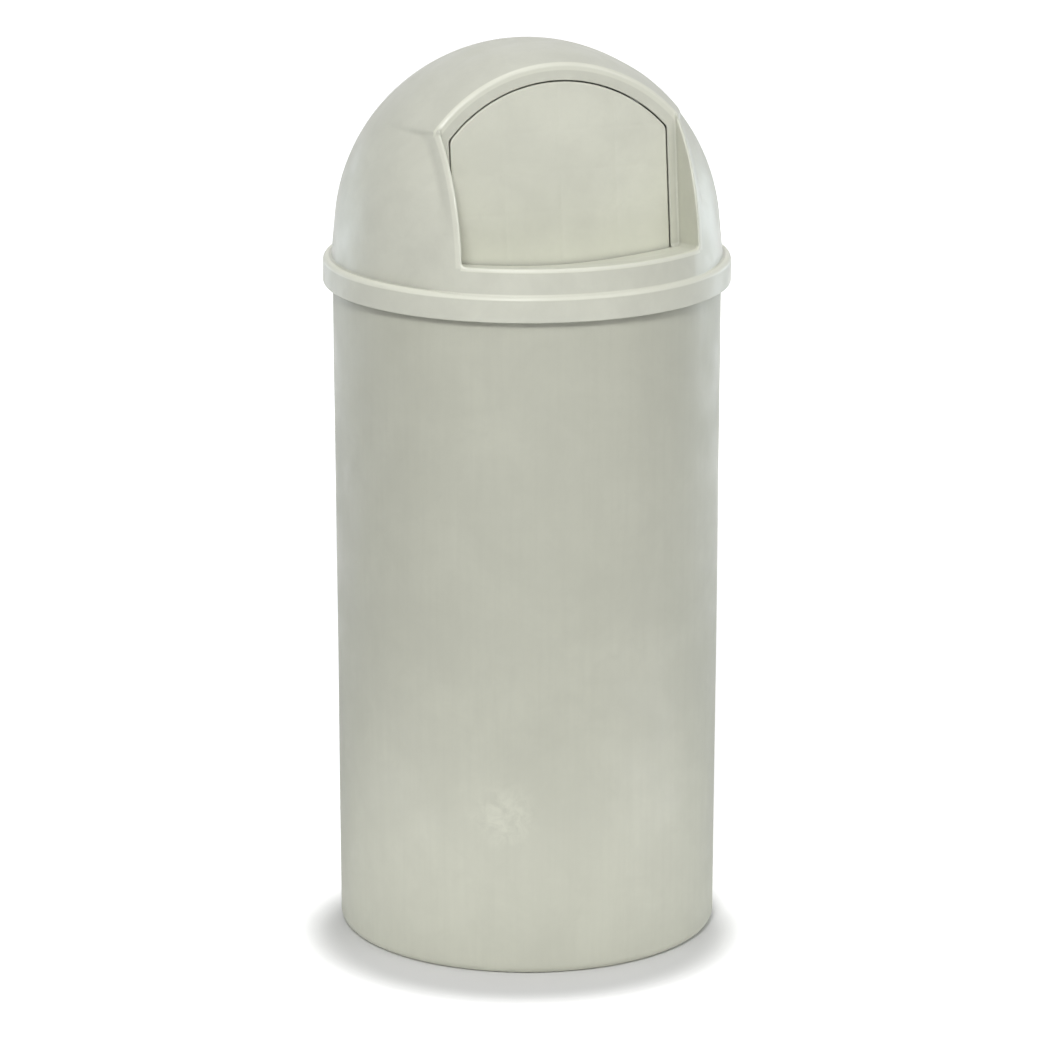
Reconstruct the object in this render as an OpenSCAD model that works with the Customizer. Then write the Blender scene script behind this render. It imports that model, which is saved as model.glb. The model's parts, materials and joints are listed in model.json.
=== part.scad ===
// Dome top waste receptacle: a tall round body under a lift-off dome, with a self-closing push door.
// Origin on the ground at the middle of the foot ring, +Z up, the door faces -Y. Millimetres.

/* [Body] */
// Height of the body to the top of its rim
body_h = 811; // [500:1:1000]
// Outer radius of the body just under its rim
body_top_r = 227.6; // [215:0.1:245]
// How much smaller the outer radius is at the ground, for the moulding draft
body_draft_in = 3.9; // [0.5:0.1:12]
// Wall of the body
body_wall = 4.5; // [3:0.1:6]
// Outer corner radius at the foot
foot_corner_r = 12; // [8:0.5:20]
// Radial width of the flat ring that the body stands on
foot_w = 40; // [15:1:80]
// Height of the floor's raised middle over the ground
floor_lift = 6; // [2:0.5:12]
// How far the rim bead stands out from the wall
bead_out = 3; // [2:0.1:4]
// Height of the rim bead
bead_h = 6; // [4:0.5:10]

/* [Bag band] */
// Thickness of the elastic band that holds a liner bag under the rim bead
band_d = 3.4; // [2:0.1:4]

/* [Dome] */
// How much smaller the dome's ball is than the body's top
dome_inset = 2.1; // [1:0.1:5]
// Wall of the dome, its surround and its ring
dome_wall = 4; // [3:0.1:5]
// Height of the ball's middle over the shelf of the ring
equator_up = 26.5; // [20:0.5:40]
// Height over the ball's middle where the ball meets its straight wall
seam_up = 20; // [14:0.5:24]
// Draft of that straight wall, in degrees
skirt_draft = 5.5; // [3:0.5:8]
// Height of the ring that hangs over the body's rim
ring_h = 31; // [20:0.5:45]
// Radial room between the body's wall and the ring
ring_room = 7.4; // [6:0.1:10]
// Rounding of the ring's top edge
ring_round = 4.5; // [2:0.1:5]
// Room between the body's inside and the lip that centres the dome
locator_room = 0.8; // [0.4:0.1:2]
// Depth of that lip under the rim
locator_drop = 18; // [8:1:30]

/* [Surround] */
// How far the door's face lies inside the ball's radius, at the ball's middle height
face_inset = 104.5; // [98:0.5:111]
// Lean of the door's face away from upright, in degrees
face_lean = 6.2; // [3:0.1:9]
// How far the outer sides of the surround's ridges lie inside the ball's radius
ridge_inset = 78; // [72:0.5:81]
// How far the ridges stand out from the ball
ridge_out = 5.5; // [3:0.1:7]
// How much smaller the radius of the surround's outer arch is than the ball's
arch_inset = 31; // [29:0.5:34]
// Height of the arch's centre over the ball's middle, along the face
arch_up = 20; // [17:0.5:23]
// Width of the flat band between the outer arch and the opening
band_w = 18.5; // [15:0.5:22]
// Depth of the hood's side edge under the arch's corner
crease_drop = 4; // [3.5:0.5:8]
// Slope of the sill inwards, in degrees
sill_slope = 10; // [6:0.5:14]
// Height of the sill's lip over the shelf
sill_up = 30; // [26:0.5:34]
// Depth of the sill's inner flange under the ball's middle
flange_drop = 36; // [33:0.5:40]

/* [Door] */
// From the outer side of a ridge to the door's edge
door_inset = 16.5; // [14:0.5:22]
// Gap round the door
door_gap = 2.5; // [1.5:0.1:4]
// Wall of the door
door_wall = 4; // [3:0.1:5]
// Depth of the ribs on the door's back
rib_depth = 8; // [4:0.5:9]
// Thickness of those ribs
rib_t = 3; // [2:0.1:4]
// How far the door reaches under the ball's middle
door_drop = 30; // [26:0.5:32]
// Distance of the stiffening ribs from the door's edge
rib_inset = 11; // [9:0.5:16]

/* [Hinge] */
// Depth of the hinge rod under the top of the door's arch, along the face
hinge_under = 25.5; // [23:0.5:29]
// Depth of the hinge rod behind the door's face
hinge_back = 18; // [17:0.5:20]
// Diameter of the hinge rod
rod_d = 6; // [5:0.1:6.4]
// Radial clearance of the rod in its bushes
rod_clear = 0.05; // [0.02:0.01:0.09]
// Outer diameter of a bush
bush_d = 10; // [9:0.1:11]
// Diameter of a bush's flange
bush_flange_d = 15; // [13:0.5:17]
// Sheet thickness of the hinge brackets
bracket_t = 2.4; // [1.5:0.1:3]
// From the door's edge to a bracket's inner face
bracket_inset = 35; // [33:0.5:37]
// Height of the bosses behind the band that carry the brackets
boss_h = 5; // [4:0.5:6]
// Shank diameter of the bracket screws
screw_d = 3.5; // [3:0.1:4]
// Wire of the closing springs
wire_d = 1.6; // [1.2:0.1:1.8]
// Outer diameter of the closing springs
spring_d = 12; // [11:0.5:13]

/* [Bumpers] */
// Diameter of the rubber bumpers on the sill's flange
bumper_d = 12; // [8:0.5:13]
// From the door's edge to the middle of a bumper
bumper_inset = 36; // [20:1:70]

/* [Hidden] */

big_fn = 180;
small_fn = 48;
far = 400;          // longer than any cut needs to be
bite = 1;           // how far a cut runs past the face it opens
tiny = 0.1;         // seat clearance of pieces that only lie against each other

plastic_col = "#cfcfc0";
foot_col = "#c9c9bb";
door_col = "#cdcdbf";
steel_col = "#b9bcc0";
nylon_col = "#e6e4da";
rubber_col = "#2c2c2b";

// body
body_foot_r = body_top_r - body_draft_in;
body_in_r = body_top_r - body_wall;
bead_r = body_top_r + bead_out;

// dome
shelf_z = body_h + dome_wall;
dome_r = body_top_r - dome_inset;
dome_cz = shelf_z + equator_up;
dome_top = dome_cz + dome_r;
ring_in_r = body_top_r + ring_room;
ring_out_r = ring_in_r + dome_wall;
ring_z = shelf_z - ring_h;
locator_r = body_in_r - locator_room;
locator_top = 6;    // height of the centring lip's root over the shelf

// surround: the hood is the ball that meets the face along the outer arch and tops out level with the dome
face_out = dome_r - face_inset;
ridge_half = dome_r - ridge_inset;
arch_r = dome_r - arch_inset;
cheek_x = ridge_half - dome_wall;
ridge_back = face_out / 2;  // the ridges' block starts this far in front of the middle, inside the ball
arch_top = dome_cz + arch_up * cos(face_lean);
hood_lift = dome_top - arch_top;
hood_b = hood_lift * sin(face_lean);
hood_c = arch_r * arch_r - hood_lift * hood_lift;
hood_depth = (hood_b + sqrt(hood_b * hood_b - pow(cos(face_lean), 2) * hood_c)) / pow(cos(face_lean), 2);
hood_r = sqrt(arch_r * arch_r + hood_depth * hood_depth);
corner_up = arch_up + sqrt(arch_r * arch_r - ridge_half * ridge_half);
crease_z = dome_cz + corner_up * cos(face_lean) - crease_drop;
sill_z = shelf_z + sill_up - (dome_r + ridge_out) * tan(sill_slope);
sill_drop = dome_wall / cos(sill_slope);

// door
door_half = ridge_half - door_inset;
open_half = door_half + door_gap;
open_arch_r = arch_r - band_w;
door_arch_r = open_arch_r - door_gap;
stop_gap = 1.5;     // room between the door's face and the sill's flange, filled by the bumpers
door_corner_up = arch_up + sqrt(door_arch_r * door_arch_r - door_half * door_half);
rib_x = door_half - rib_inset;
rib_arch_r = door_arch_r - rib_inset;
knuckle_r = 7.5;
knuckle_w = 12;

// hinge
hinge_up = arch_up + door_arch_r - hinge_under;
bracket_x = door_half - bracket_inset;
knuckle_out = bracket_x - 28;
knuckle_x = [-knuckle_out, 0, knuckle_out];
leg_rib_up = hinge_up - 30;     // the top rib, which the springs' lower legs press on
rod_r = rod_d / 2;
bush_flange_t = 2;
cap_t = 1.2;
cap_gap = 0.3;
cap_d = 11;
bush_out = bracket_x + bracket_t + 0.6;
rod_past_cap = 1.5;
rod_half = bush_out + cap_gap + cap_t + rod_past_cap;
ear_r = 10.5;
neck_under = 6;     // the bracket's neck, from under the hinge line to over it
neck_over = 8;
pad_back = dome_wall + boss_h;
boss_d = 10;
boss_from = bracket_x + 10;
boss_pitch = 16;
boss_mid_r = (arch_r + open_arch_r) / 2;
boss_at = [for (x = [boss_from, boss_from + boss_pitch])
    [x, arch_up + sqrt(boss_mid_r * boss_mid_r - x * x)]];
boss_turn = atan2(boss_at[1][1] - boss_at[0][1], boss_at[1][0] - boss_at[0][0]);
boss_span = norm(boss_at[1] - boss_at[0]);
screw_bite = 6;     // depth of the bores in the bosses
screw_short = 0.5;  // the screws end this far from the bores' ends
head_d = 7;
head_h = 2.4;
cross_l = 4;        // the cross in the screws' heads
cross_w = 0.8;
cross_deep = 1.2;

// bumpers
bumper_edge = 6;    // from the flange's lower edge to the bumpers
bumper_x = door_half - bumper_inset;
bumper_up = -flange_drop + bumper_d / 2 + bumper_edge;
stem_d = 4;
barb_out = 2.5;
barb_in = 1;
barb_l = 3;

echo(overall_height = dome_top, hood_radius = hood_r, crease_height = crease_z);

// Places children on the door's face: x across, y up the face from the ball's middle height, z outwards.
module on_face() {
    translate([0, -face_out, dome_cz]) rotate([90 - face_lean, 0, 0]) children();
}

// A box on the face: half width, from and to up the face, from and to outwards.
module face_box(half, up0, up1, out0, out1) {
    translate([-half, up0, out0]) cube([2 * half, up1 - up0, out1 - out0]);
}

// Places children at the hinge line, with z along the rod towards +X.
module on_hinge() {
    on_face() translate([0, hinge_up, -hinge_back]) rotate([0, 90, 0]) children();
}

// Draws its children on the +X side, or mirrored on the -X side.
module on_side(side) {
    if (side > 0) children();
    else mirror([1, 0, 0]) children();
}

// The ball over its drafted wall, grown by out and open from base up. The two overlap under the skin.
module dome_form(out, base) {
    r = dome_r + out;
    overlap = 20;
    seam_z = dome_cz + seam_up;
    seam_r = sqrt(r * r - seam_up * seam_up);
    base_r = seam_r + (seam_z - base) * tan(skirt_draft);
    rotate_extrude($fn = big_fn) union() {
        intersection() {
            translate([0, dome_cz]) circle(r, $fn = big_fn);
            translate([0, seam_z - bite]) square([r + bite, r + bite]);
        }
        polygon([[0, base], [base_r, base], [seam_r, seam_z], [seam_r - overlap, seam_z + overlap],
            [0, seam_z + overlap]]);
    }
}

// The raised front of the dome over the arch.
module hood(out, from_z) {
    intersection() {
        on_face() translate([0, arch_up, -hood_depth]) sphere(hood_r + out, $fn = big_fn);
        translate([-far, -far, from_z]) cube([2 * far, 2 * far, far]);
    }
}

// Everything over the sloping sill, lowered by down.
module over_sill(down) {
    rise = far * tan(sill_slope);
    translate([0, 0, sill_z - down]) rotate_extrude($fn = big_fn)
        polygon([[0, 0], [far, rise], [far, far + rise], [0, far + rise]]);
}

module ridge_block(out, half, base, top) {
    intersection() {
        dome_form(out, base);
        translate([-half, -far, base]) cube([2 * half, far - ridge_back, top - base]);
    }
}

module arched_outline(half, radius, up0) {
    intersection() {
        translate([0, arch_up]) circle(radius, $fn = big_fn);
        translate([-half, up0]) square([2 * half, far]);
    }
}

// The walls that stand inside the dome round the recess: back plate, cheeks, sill and its inner flange.
module recess_walls() {
    intersection() {
        over_sill(sill_drop);
        on_face() face_box(ridge_half, -far / 2, far, -dome_wall, far);
    }
    on_face() difference() {
        face_box(ridge_half, -flange_drop, door_corner_up, -dome_wall, stop_gap + dome_wall);
        face_box(open_half, -far, far, -far, stop_gap);
    }
}

module dome_inside() {
    difference() {
        union() {
            dome_form(-dome_wall, body_h);
            hood(-dome_wall, crease_z + dome_wall);
            difference() {
                ridge_block(ridge_out - dome_wall, cheek_x, body_h, crease_z);
                over_sill(sill_drop);
            }
        }
        recess_walls();
    }
}

// Ring over the rim, shelf on the rim and the lip that centres the dome in the body.
module dome_ring() {
    in_wall_r = dome_r + bite;
    edge_r = ring_out_r - ring_round;
    rotate_extrude($fn = big_fn) polygon(concat(
        [[locator_r - dome_wall, body_h - locator_drop], [locator_r, body_h - locator_drop],
         [locator_r, body_h], [ring_in_r, body_h], [ring_in_r, ring_z], [ring_out_r, ring_z]],
        [for (a = [0:15:90]) [edge_r + ring_round * cos(a), shelf_z - ring_round * (1 - sin(a))]],
        [[in_wall_r, shelf_z], [in_wall_r, shelf_z + locator_top],
         [locator_r - dome_wall, shelf_z + locator_top]]));
}

module bracket_bosses() {
    for (side = [-1, 1]) on_side(side)
        on_face() for (p = boss_at)
            translate([p[0], p[1], -pad_back]) cylinder(d = boss_d, h = boss_h + bite, $fn = small_fn);
}

module bracket_bores() {
    for (side = [-1, 1]) on_side(side)
        on_face() for (p = boss_at)
            translate([p[0], p[1], -pad_back - bite])
                cylinder(d = screw_d, h = screw_bite + bite, $fn = small_fn);
}

module bumper_bores() {
    on_face() for (x = [-bumper_x, bumper_x])
        translate([x, bumper_up, 0]) cylinder(d = stem_d, h = stop_gap + dome_wall + bite, $fn = small_fn);
}

module base_body() {
    foot_in_r = body_foot_r - foot_corner_r - foot_w;
    in_corner_r = foot_corner_r - body_wall;
    in_foot_r = body_foot_r - body_wall;
    color(foot_col) rotate_extrude($fn = big_fn) polygon(concat(
        [[0, floor_lift], [foot_in_r - floor_lift, floor_lift], [foot_in_r, 0]],
        [for (a = [-90:15:0])
            [body_foot_r - foot_corner_r * (1 - cos(a)), foot_corner_r * (1 + sin(a))]],
        [[body_top_r, body_h - bead_h], [bead_r, body_h - bead_h], [bead_r, body_h], [body_in_r, body_h]],
        [for (a = [0:-15:-90])
            [in_foot_r - in_corner_r * (1 - cos(a)), body_wall + in_corner_r * (1 + sin(a))]],
        [[foot_in_r, body_wall], [foot_in_r - floor_lift, floor_lift + body_wall],
         [0, floor_lift + body_wall]]));
}

module bag_retainer_band() {
    color(nylon_col) translate([0, 0, body_h - bead_h - band_d / 2 - tiny])
        rotate_extrude($fn = big_fn) translate([body_top_r + band_d / 2 + tiny, 0])
            circle(d = band_d, $fn = small_fn);
}

module dome_shell() {
    color(plastic_col) difference() {
        union() {
            difference() {
                union() {
                    dome_form(0, shelf_z);
                    hood(0, crease_z);
                    ridge_block(ridge_out, ridge_half, shelf_z - dome_wall / 2, crease_z);
                }
                dome_inside();
                intersection() {
                    over_sill(0);
                    on_face() face_box(cheek_x, -far / 2, far, 0, far);
                }
                on_face() translate([0, 0, -dome_wall - bite])
                    linear_extrude(dome_wall + bite + stop_gap)
                        arched_outline(open_half, open_arch_r, -far / 2);
            }
            dome_ring();
            bracket_bosses();
        }
        bracket_bores();
        bumper_bores();
    }
}

module door_ribs() {
    clip = door_wall / 2;
    translate([0, 0, -door_wall - rib_depth]) linear_extrude(rib_depth + clip) union() {
        difference() {
            arched_outline(rib_x, rib_arch_r, -door_drop + rib_inset);
            arched_outline(rib_x - rib_t, rib_arch_r - rib_t, -door_drop + rib_inset + rib_t);
        }
        intersection() {
            arched_outline(rib_x, rib_arch_r, -door_drop + rib_inset);
            union() {
                for (up = [leg_rib_up / 3, leg_rib_up * 2 / 3, leg_rib_up])
                    translate([-far, up - rib_t / 2]) square([2 * far, rib_t]);
                for (x = knuckle_x)
                    translate([x - rib_t / 2, -far]) square([rib_t, far + hinge_up]);
            }
        }
    }
}

module push_door() {
    color(door_col) difference() {
        union() {
            on_face() {
                translate([0, 0, -door_wall]) linear_extrude(door_wall)
                    arched_outline(door_half, door_arch_r, -door_drop);
                door_ribs();
            }
            for (x = knuckle_x) {
                on_hinge() translate([0, 0, x - knuckle_w / 2])
                    cylinder(r = knuckle_r, h = knuckle_w, $fn = small_fn);
                on_face() translate([x - knuckle_w / 2, hinge_up - knuckle_r, -hinge_back])
                    cube([knuckle_w, 2 * knuckle_r, hinge_back - door_wall / 2]);
            }
        }
        on_hinge() translate([0, 0, -far / 2]) cylinder(r = rod_r, h = far, $fn = small_fn);
    }
}

module hinge_rod() {
    color(steel_col) on_hinge() translate([0, 0, -rod_half])
        cylinder(r = rod_r, h = 2 * rod_half, $fn = small_fn);
}

// A bent plate: a foot on two bosses and an ear that carries the rod's bush.
module hinge_bracket(side) {
    foot_half = boss_d / 2 + 1;
    color(steel_col) on_side(side) difference() {
        union() {
            on_face() translate([0, 0, -pad_back - bracket_t]) {
                translate([bracket_x, hinge_up - neck_under, 0])
                    cube([boss_from - bracket_x, neck_under + neck_over, bracket_t]);
                for (p = boss_at) translate([p[0], p[1], 0])
                    cylinder(r = foot_half, h = bracket_t, $fn = small_fn);
                translate([boss_at[0][0], boss_at[0][1], 0]) rotate([0, 0, boss_turn])
                    translate([0, -foot_half, 0]) cube([boss_span, 2 * foot_half, bracket_t]);
            }
            on_hinge() translate([0, 0, bracket_x]) cylinder(r = ear_r, h = bracket_t, $fn = small_fn);
            on_face() translate([bracket_x, hinge_up - neck_under, -hinge_back])
                cube([bracket_t, neck_under + neck_over, hinge_back - pad_back]);
        }
        on_hinge() translate([0, 0, bracket_x - bite])
            cylinder(d = bush_d, h = bracket_t + 2 * bite, $fn = small_fn);
        on_face() for (p = boss_at) translate([p[0], p[1], -pad_back - bracket_t - bite])
            cylinder(d = screw_d, h = bracket_t + 2 * bite, $fn = small_fn);
    }
}

module bracket_screws() {
    color(steel_col) for (side = [-1, 1]) on_side(side) on_face() for (p = boss_at)
        translate([p[0], p[1], -pad_back]) difference() {
            union() {
                translate([0, 0, -bracket_t])
                    cylinder(d = screw_d, h = bracket_t + screw_bite - screw_short, $fn = small_fn);
                translate([0, 0, -bracket_t - head_h]) cylinder(d1 = head_d - 2, d2 = head_d, h = head_h,
                    $fn = small_fn);
            }
            for (turn = [0, 90]) rotate([0, 0, turn])
                translate([-cross_l / 2, -cross_w / 2, -bracket_t - head_h - bite])
                    cube([cross_l, cross_w, bite + cross_deep]);
        }
}

module hinge_bush(side) {
    color(nylon_col) on_side(side) on_hinge() difference() {
        union() {
            translate([0, 0, bracket_x - bush_flange_t])
                cylinder(d = bush_flange_d, h = bush_flange_t, $fn = small_fn);
            translate([0, 0, bracket_x - bush_flange_t])
                cylinder(d = bush_d, h = bush_out - bracket_x + bush_flange_t, $fn = small_fn);
        }
        translate([0, 0, bracket_x - bush_flange_t - bite])
            cylinder(r = rod_r + rod_clear, h = bush_out - bracket_x + bush_flange_t + 2 * bite,
                $fn = small_fn);
    }
}

// Push-on cap that keeps the rod from sliding out.
module rod_cap(side) {
    color(steel_col) on_side(side) on_hinge() translate([0, 0, bush_out + cap_gap]) difference() {
        cylinder(d = cap_d, h = cap_t, $fn = small_fn);
        translate([0, 0, -bite]) cylinder(r = rod_r, h = cap_t + 2 * bite, $fn = small_fn);
    }
}

// Closed coil round the rod, with one leg on the door's top rib and one on the back of the band.
module closing_spring(side) {
    coil_r = spring_d / 2;
    in_r = coil_r - wire_d;
    end_room = 1;       // room beside the coil's ends
    x0 = knuckle_out + knuckle_w / 2 + end_room;
    x1 = bracket_x - bush_flange_t - end_room;
    leg_in = wire_d / 2 + 0.5;
    leg_past_rib = 4;
    leg_back = door_wall + rib_depth + wire_d / 2 + tiny;
    top_foot = [0, hinge_up + 15, -dome_wall - wire_d / 2 - tiny];
    top_root = [0, hinge_up + coil_r - wire_d / 2, -hinge_back];
    top_leg = top_foot - top_root;
    color(steel_col) on_side(side) {
        on_hinge() translate([0, 0, x0]) difference() {
            cylinder(r = coil_r, h = x1 - x0, $fn = small_fn);
            translate([0, 0, -bite]) cylinder(r = in_r, h = x1 - x0 + 2 * bite, $fn = small_fn);
        }
        on_face() translate([x0 + leg_in, hinge_up, -leg_back]) rotate([90, 0, 0])
            cylinder(d = wire_d, h = hinge_up - leg_rib_up + leg_past_rib, $fn = small_fn);
        on_face() translate([x1 - leg_in, top_root[1], top_root[2]])
            rotate([-atan2(top_leg[1], top_leg[2]), 0, 0])
                cylinder(d = wire_d, h = norm(top_leg), $fn = small_fn);
    }
}

// Push-in rubber bumper: a pad that the door rests against, a stem and a head behind the flange.
module sill_bumper(side) {
    color(rubber_col) on_side(side) on_face() translate([bumper_x, bumper_up, 0]) {
        cylinder(d = bumper_d, h = stop_gap, $fn = small_fn);
        cylinder(d = stem_d, h = stop_gap + dome_wall + barb_l / 2, $fn = small_fn);
        translate([0, 0, stop_gap + dome_wall])
            cylinder(d1 = stem_d + barb_out, d2 = stem_d - barb_in, h = barb_l, $fn = small_fn);
    }
}

base_body();
bag_retainer_band();
dome_shell();
push_door();
hinge_rod();
hinge_bracket(-1);  // hinge_bracket_left
hinge_bracket(1);  // hinge_bracket_right
bracket_screws();
hinge_bush(-1);  // hinge_bush_left
hinge_bush(1);  // hinge_bush_right
rod_cap(-1);  // rod_cap_left
rod_cap(1);  // rod_cap_right
closing_spring(-1);  // closing_spring_left
closing_spring(1);  // closing_spring_right
sill_bumper(-1);  // sill_bumper_left
sill_bumper(1);  // sill_bumper_right
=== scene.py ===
"""A dome top waste receptacle with a self-closing push door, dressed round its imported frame.

All sizes are in metres, in the frame's own axes: +Z up, the push door faces -Y, and the origin is
on the ground in the middle of the foot ring. Each sub-assembly is a class that builds and dresses
its own pieces, and each finish is a class that makes its own material. Sizes whose names end in _r
are radii, in _z heights over the ground, in _up heights up the door's face and in _at places on it.
"""

from __future__ import annotations

import sys

import json
import logging
import math
from collections.abc import Callable, Sequence
from dataclasses import dataclass, field
from enum import Enum
from functools import reduce

import bmesh
import bpy
import numpy as np
from mathutils import Matrix, Vector

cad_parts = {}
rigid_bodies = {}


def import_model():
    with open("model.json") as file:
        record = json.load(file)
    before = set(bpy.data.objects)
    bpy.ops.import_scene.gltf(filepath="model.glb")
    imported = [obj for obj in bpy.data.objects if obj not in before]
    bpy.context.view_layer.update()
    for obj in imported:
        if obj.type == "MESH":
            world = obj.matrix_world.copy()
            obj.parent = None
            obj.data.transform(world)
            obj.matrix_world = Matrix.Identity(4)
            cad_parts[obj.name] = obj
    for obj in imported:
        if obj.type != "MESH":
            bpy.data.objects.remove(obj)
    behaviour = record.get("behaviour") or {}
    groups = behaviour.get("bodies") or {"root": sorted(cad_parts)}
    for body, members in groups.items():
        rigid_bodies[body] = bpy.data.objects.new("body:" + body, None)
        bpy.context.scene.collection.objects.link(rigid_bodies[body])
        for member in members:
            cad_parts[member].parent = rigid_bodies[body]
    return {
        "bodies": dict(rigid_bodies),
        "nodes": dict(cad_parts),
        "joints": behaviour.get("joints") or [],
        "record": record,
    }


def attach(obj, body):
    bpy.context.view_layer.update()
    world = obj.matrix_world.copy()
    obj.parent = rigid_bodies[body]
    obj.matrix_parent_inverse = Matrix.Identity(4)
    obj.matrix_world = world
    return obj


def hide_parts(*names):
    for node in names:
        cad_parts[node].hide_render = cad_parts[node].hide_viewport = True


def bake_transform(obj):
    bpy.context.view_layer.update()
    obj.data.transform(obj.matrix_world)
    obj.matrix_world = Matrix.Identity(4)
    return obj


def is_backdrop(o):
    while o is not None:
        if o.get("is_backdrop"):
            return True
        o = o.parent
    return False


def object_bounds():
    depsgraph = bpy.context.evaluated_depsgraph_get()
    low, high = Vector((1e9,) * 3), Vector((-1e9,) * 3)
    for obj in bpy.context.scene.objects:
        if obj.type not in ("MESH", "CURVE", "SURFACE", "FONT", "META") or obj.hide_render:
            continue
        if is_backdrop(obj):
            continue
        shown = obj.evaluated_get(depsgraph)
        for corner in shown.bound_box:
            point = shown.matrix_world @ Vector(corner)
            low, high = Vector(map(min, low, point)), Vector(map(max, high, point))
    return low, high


log = logging.getLogger("receptacle")

Array = np.ndarray
Field = Callable[[Array, Array, Array], Array]
Pair = tuple[float, float]
Point = tuple[float, float, float]
Socket = bpy.types.NodeSocket

BLOCK = 8  # grid cells along each side of the blocks that a skin is sampled in
BATCH = 1500  # blocks that a shape is worked out for at once


class Body(Enum):
    """The bodies of the frame that pieces ride on."""

    BASE = "base"
    DOME = "dome"
    DOOR = "door"


class Side(Enum):
    """The two sides of the receptacle, as someone facing the door sees them."""

    LEFT = -1
    RIGHT = 1

    @property
    def word(self) -> str:
        """The side's name in lower case."""
        return self.name.lower()


# ---------------------------------------------------------------- shapes as distance fields


def join(a: Array, b: Array, radius: float | Array) -> Array:
    """Joins two shapes with a hollow fillet between them.

    Args:
        a: Distances to the first shape, negative inside.
        b: Distances to the second shape.
        radius: The fillet's radius.

    Returns:
        Distances to the joined shape.
    """
    near = np.hypot(np.maximum(radius - a, 0), np.maximum(radius - b, 0))
    return np.maximum(radius, np.minimum(a, b)) - near


def meet(a: Array, b: Array, radius: float | Array) -> Array:
    """Keeps what two shapes share, with a rounded edge.

    Args:
        a: Distances to the first shape, negative inside.
        b: Distances to the second shape.
        radius: The edge's radius.

    Returns:
        Distances to the shared shape.
    """
    return -join(-a, -b, radius)


def cut(a: Array, b: Array, radius: float | Array) -> Array:
    """Takes shape b out of shape a and rounds the edge it leaves by radius."""
    return meet(a, -b, radius)


def between(value: Array, low: float, high: float) -> Array:
    """Distances to the slab where value lies from low to high."""
    return np.abs(value - (low + high) / 2) - (high - low) / 2


def smooth(value: Array) -> Array:
    """An even ramp from 0 to 1 with soft ends."""
    t = np.clip(value, 0, 1)
    return t * t * (3 - 2 * t)


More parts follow.
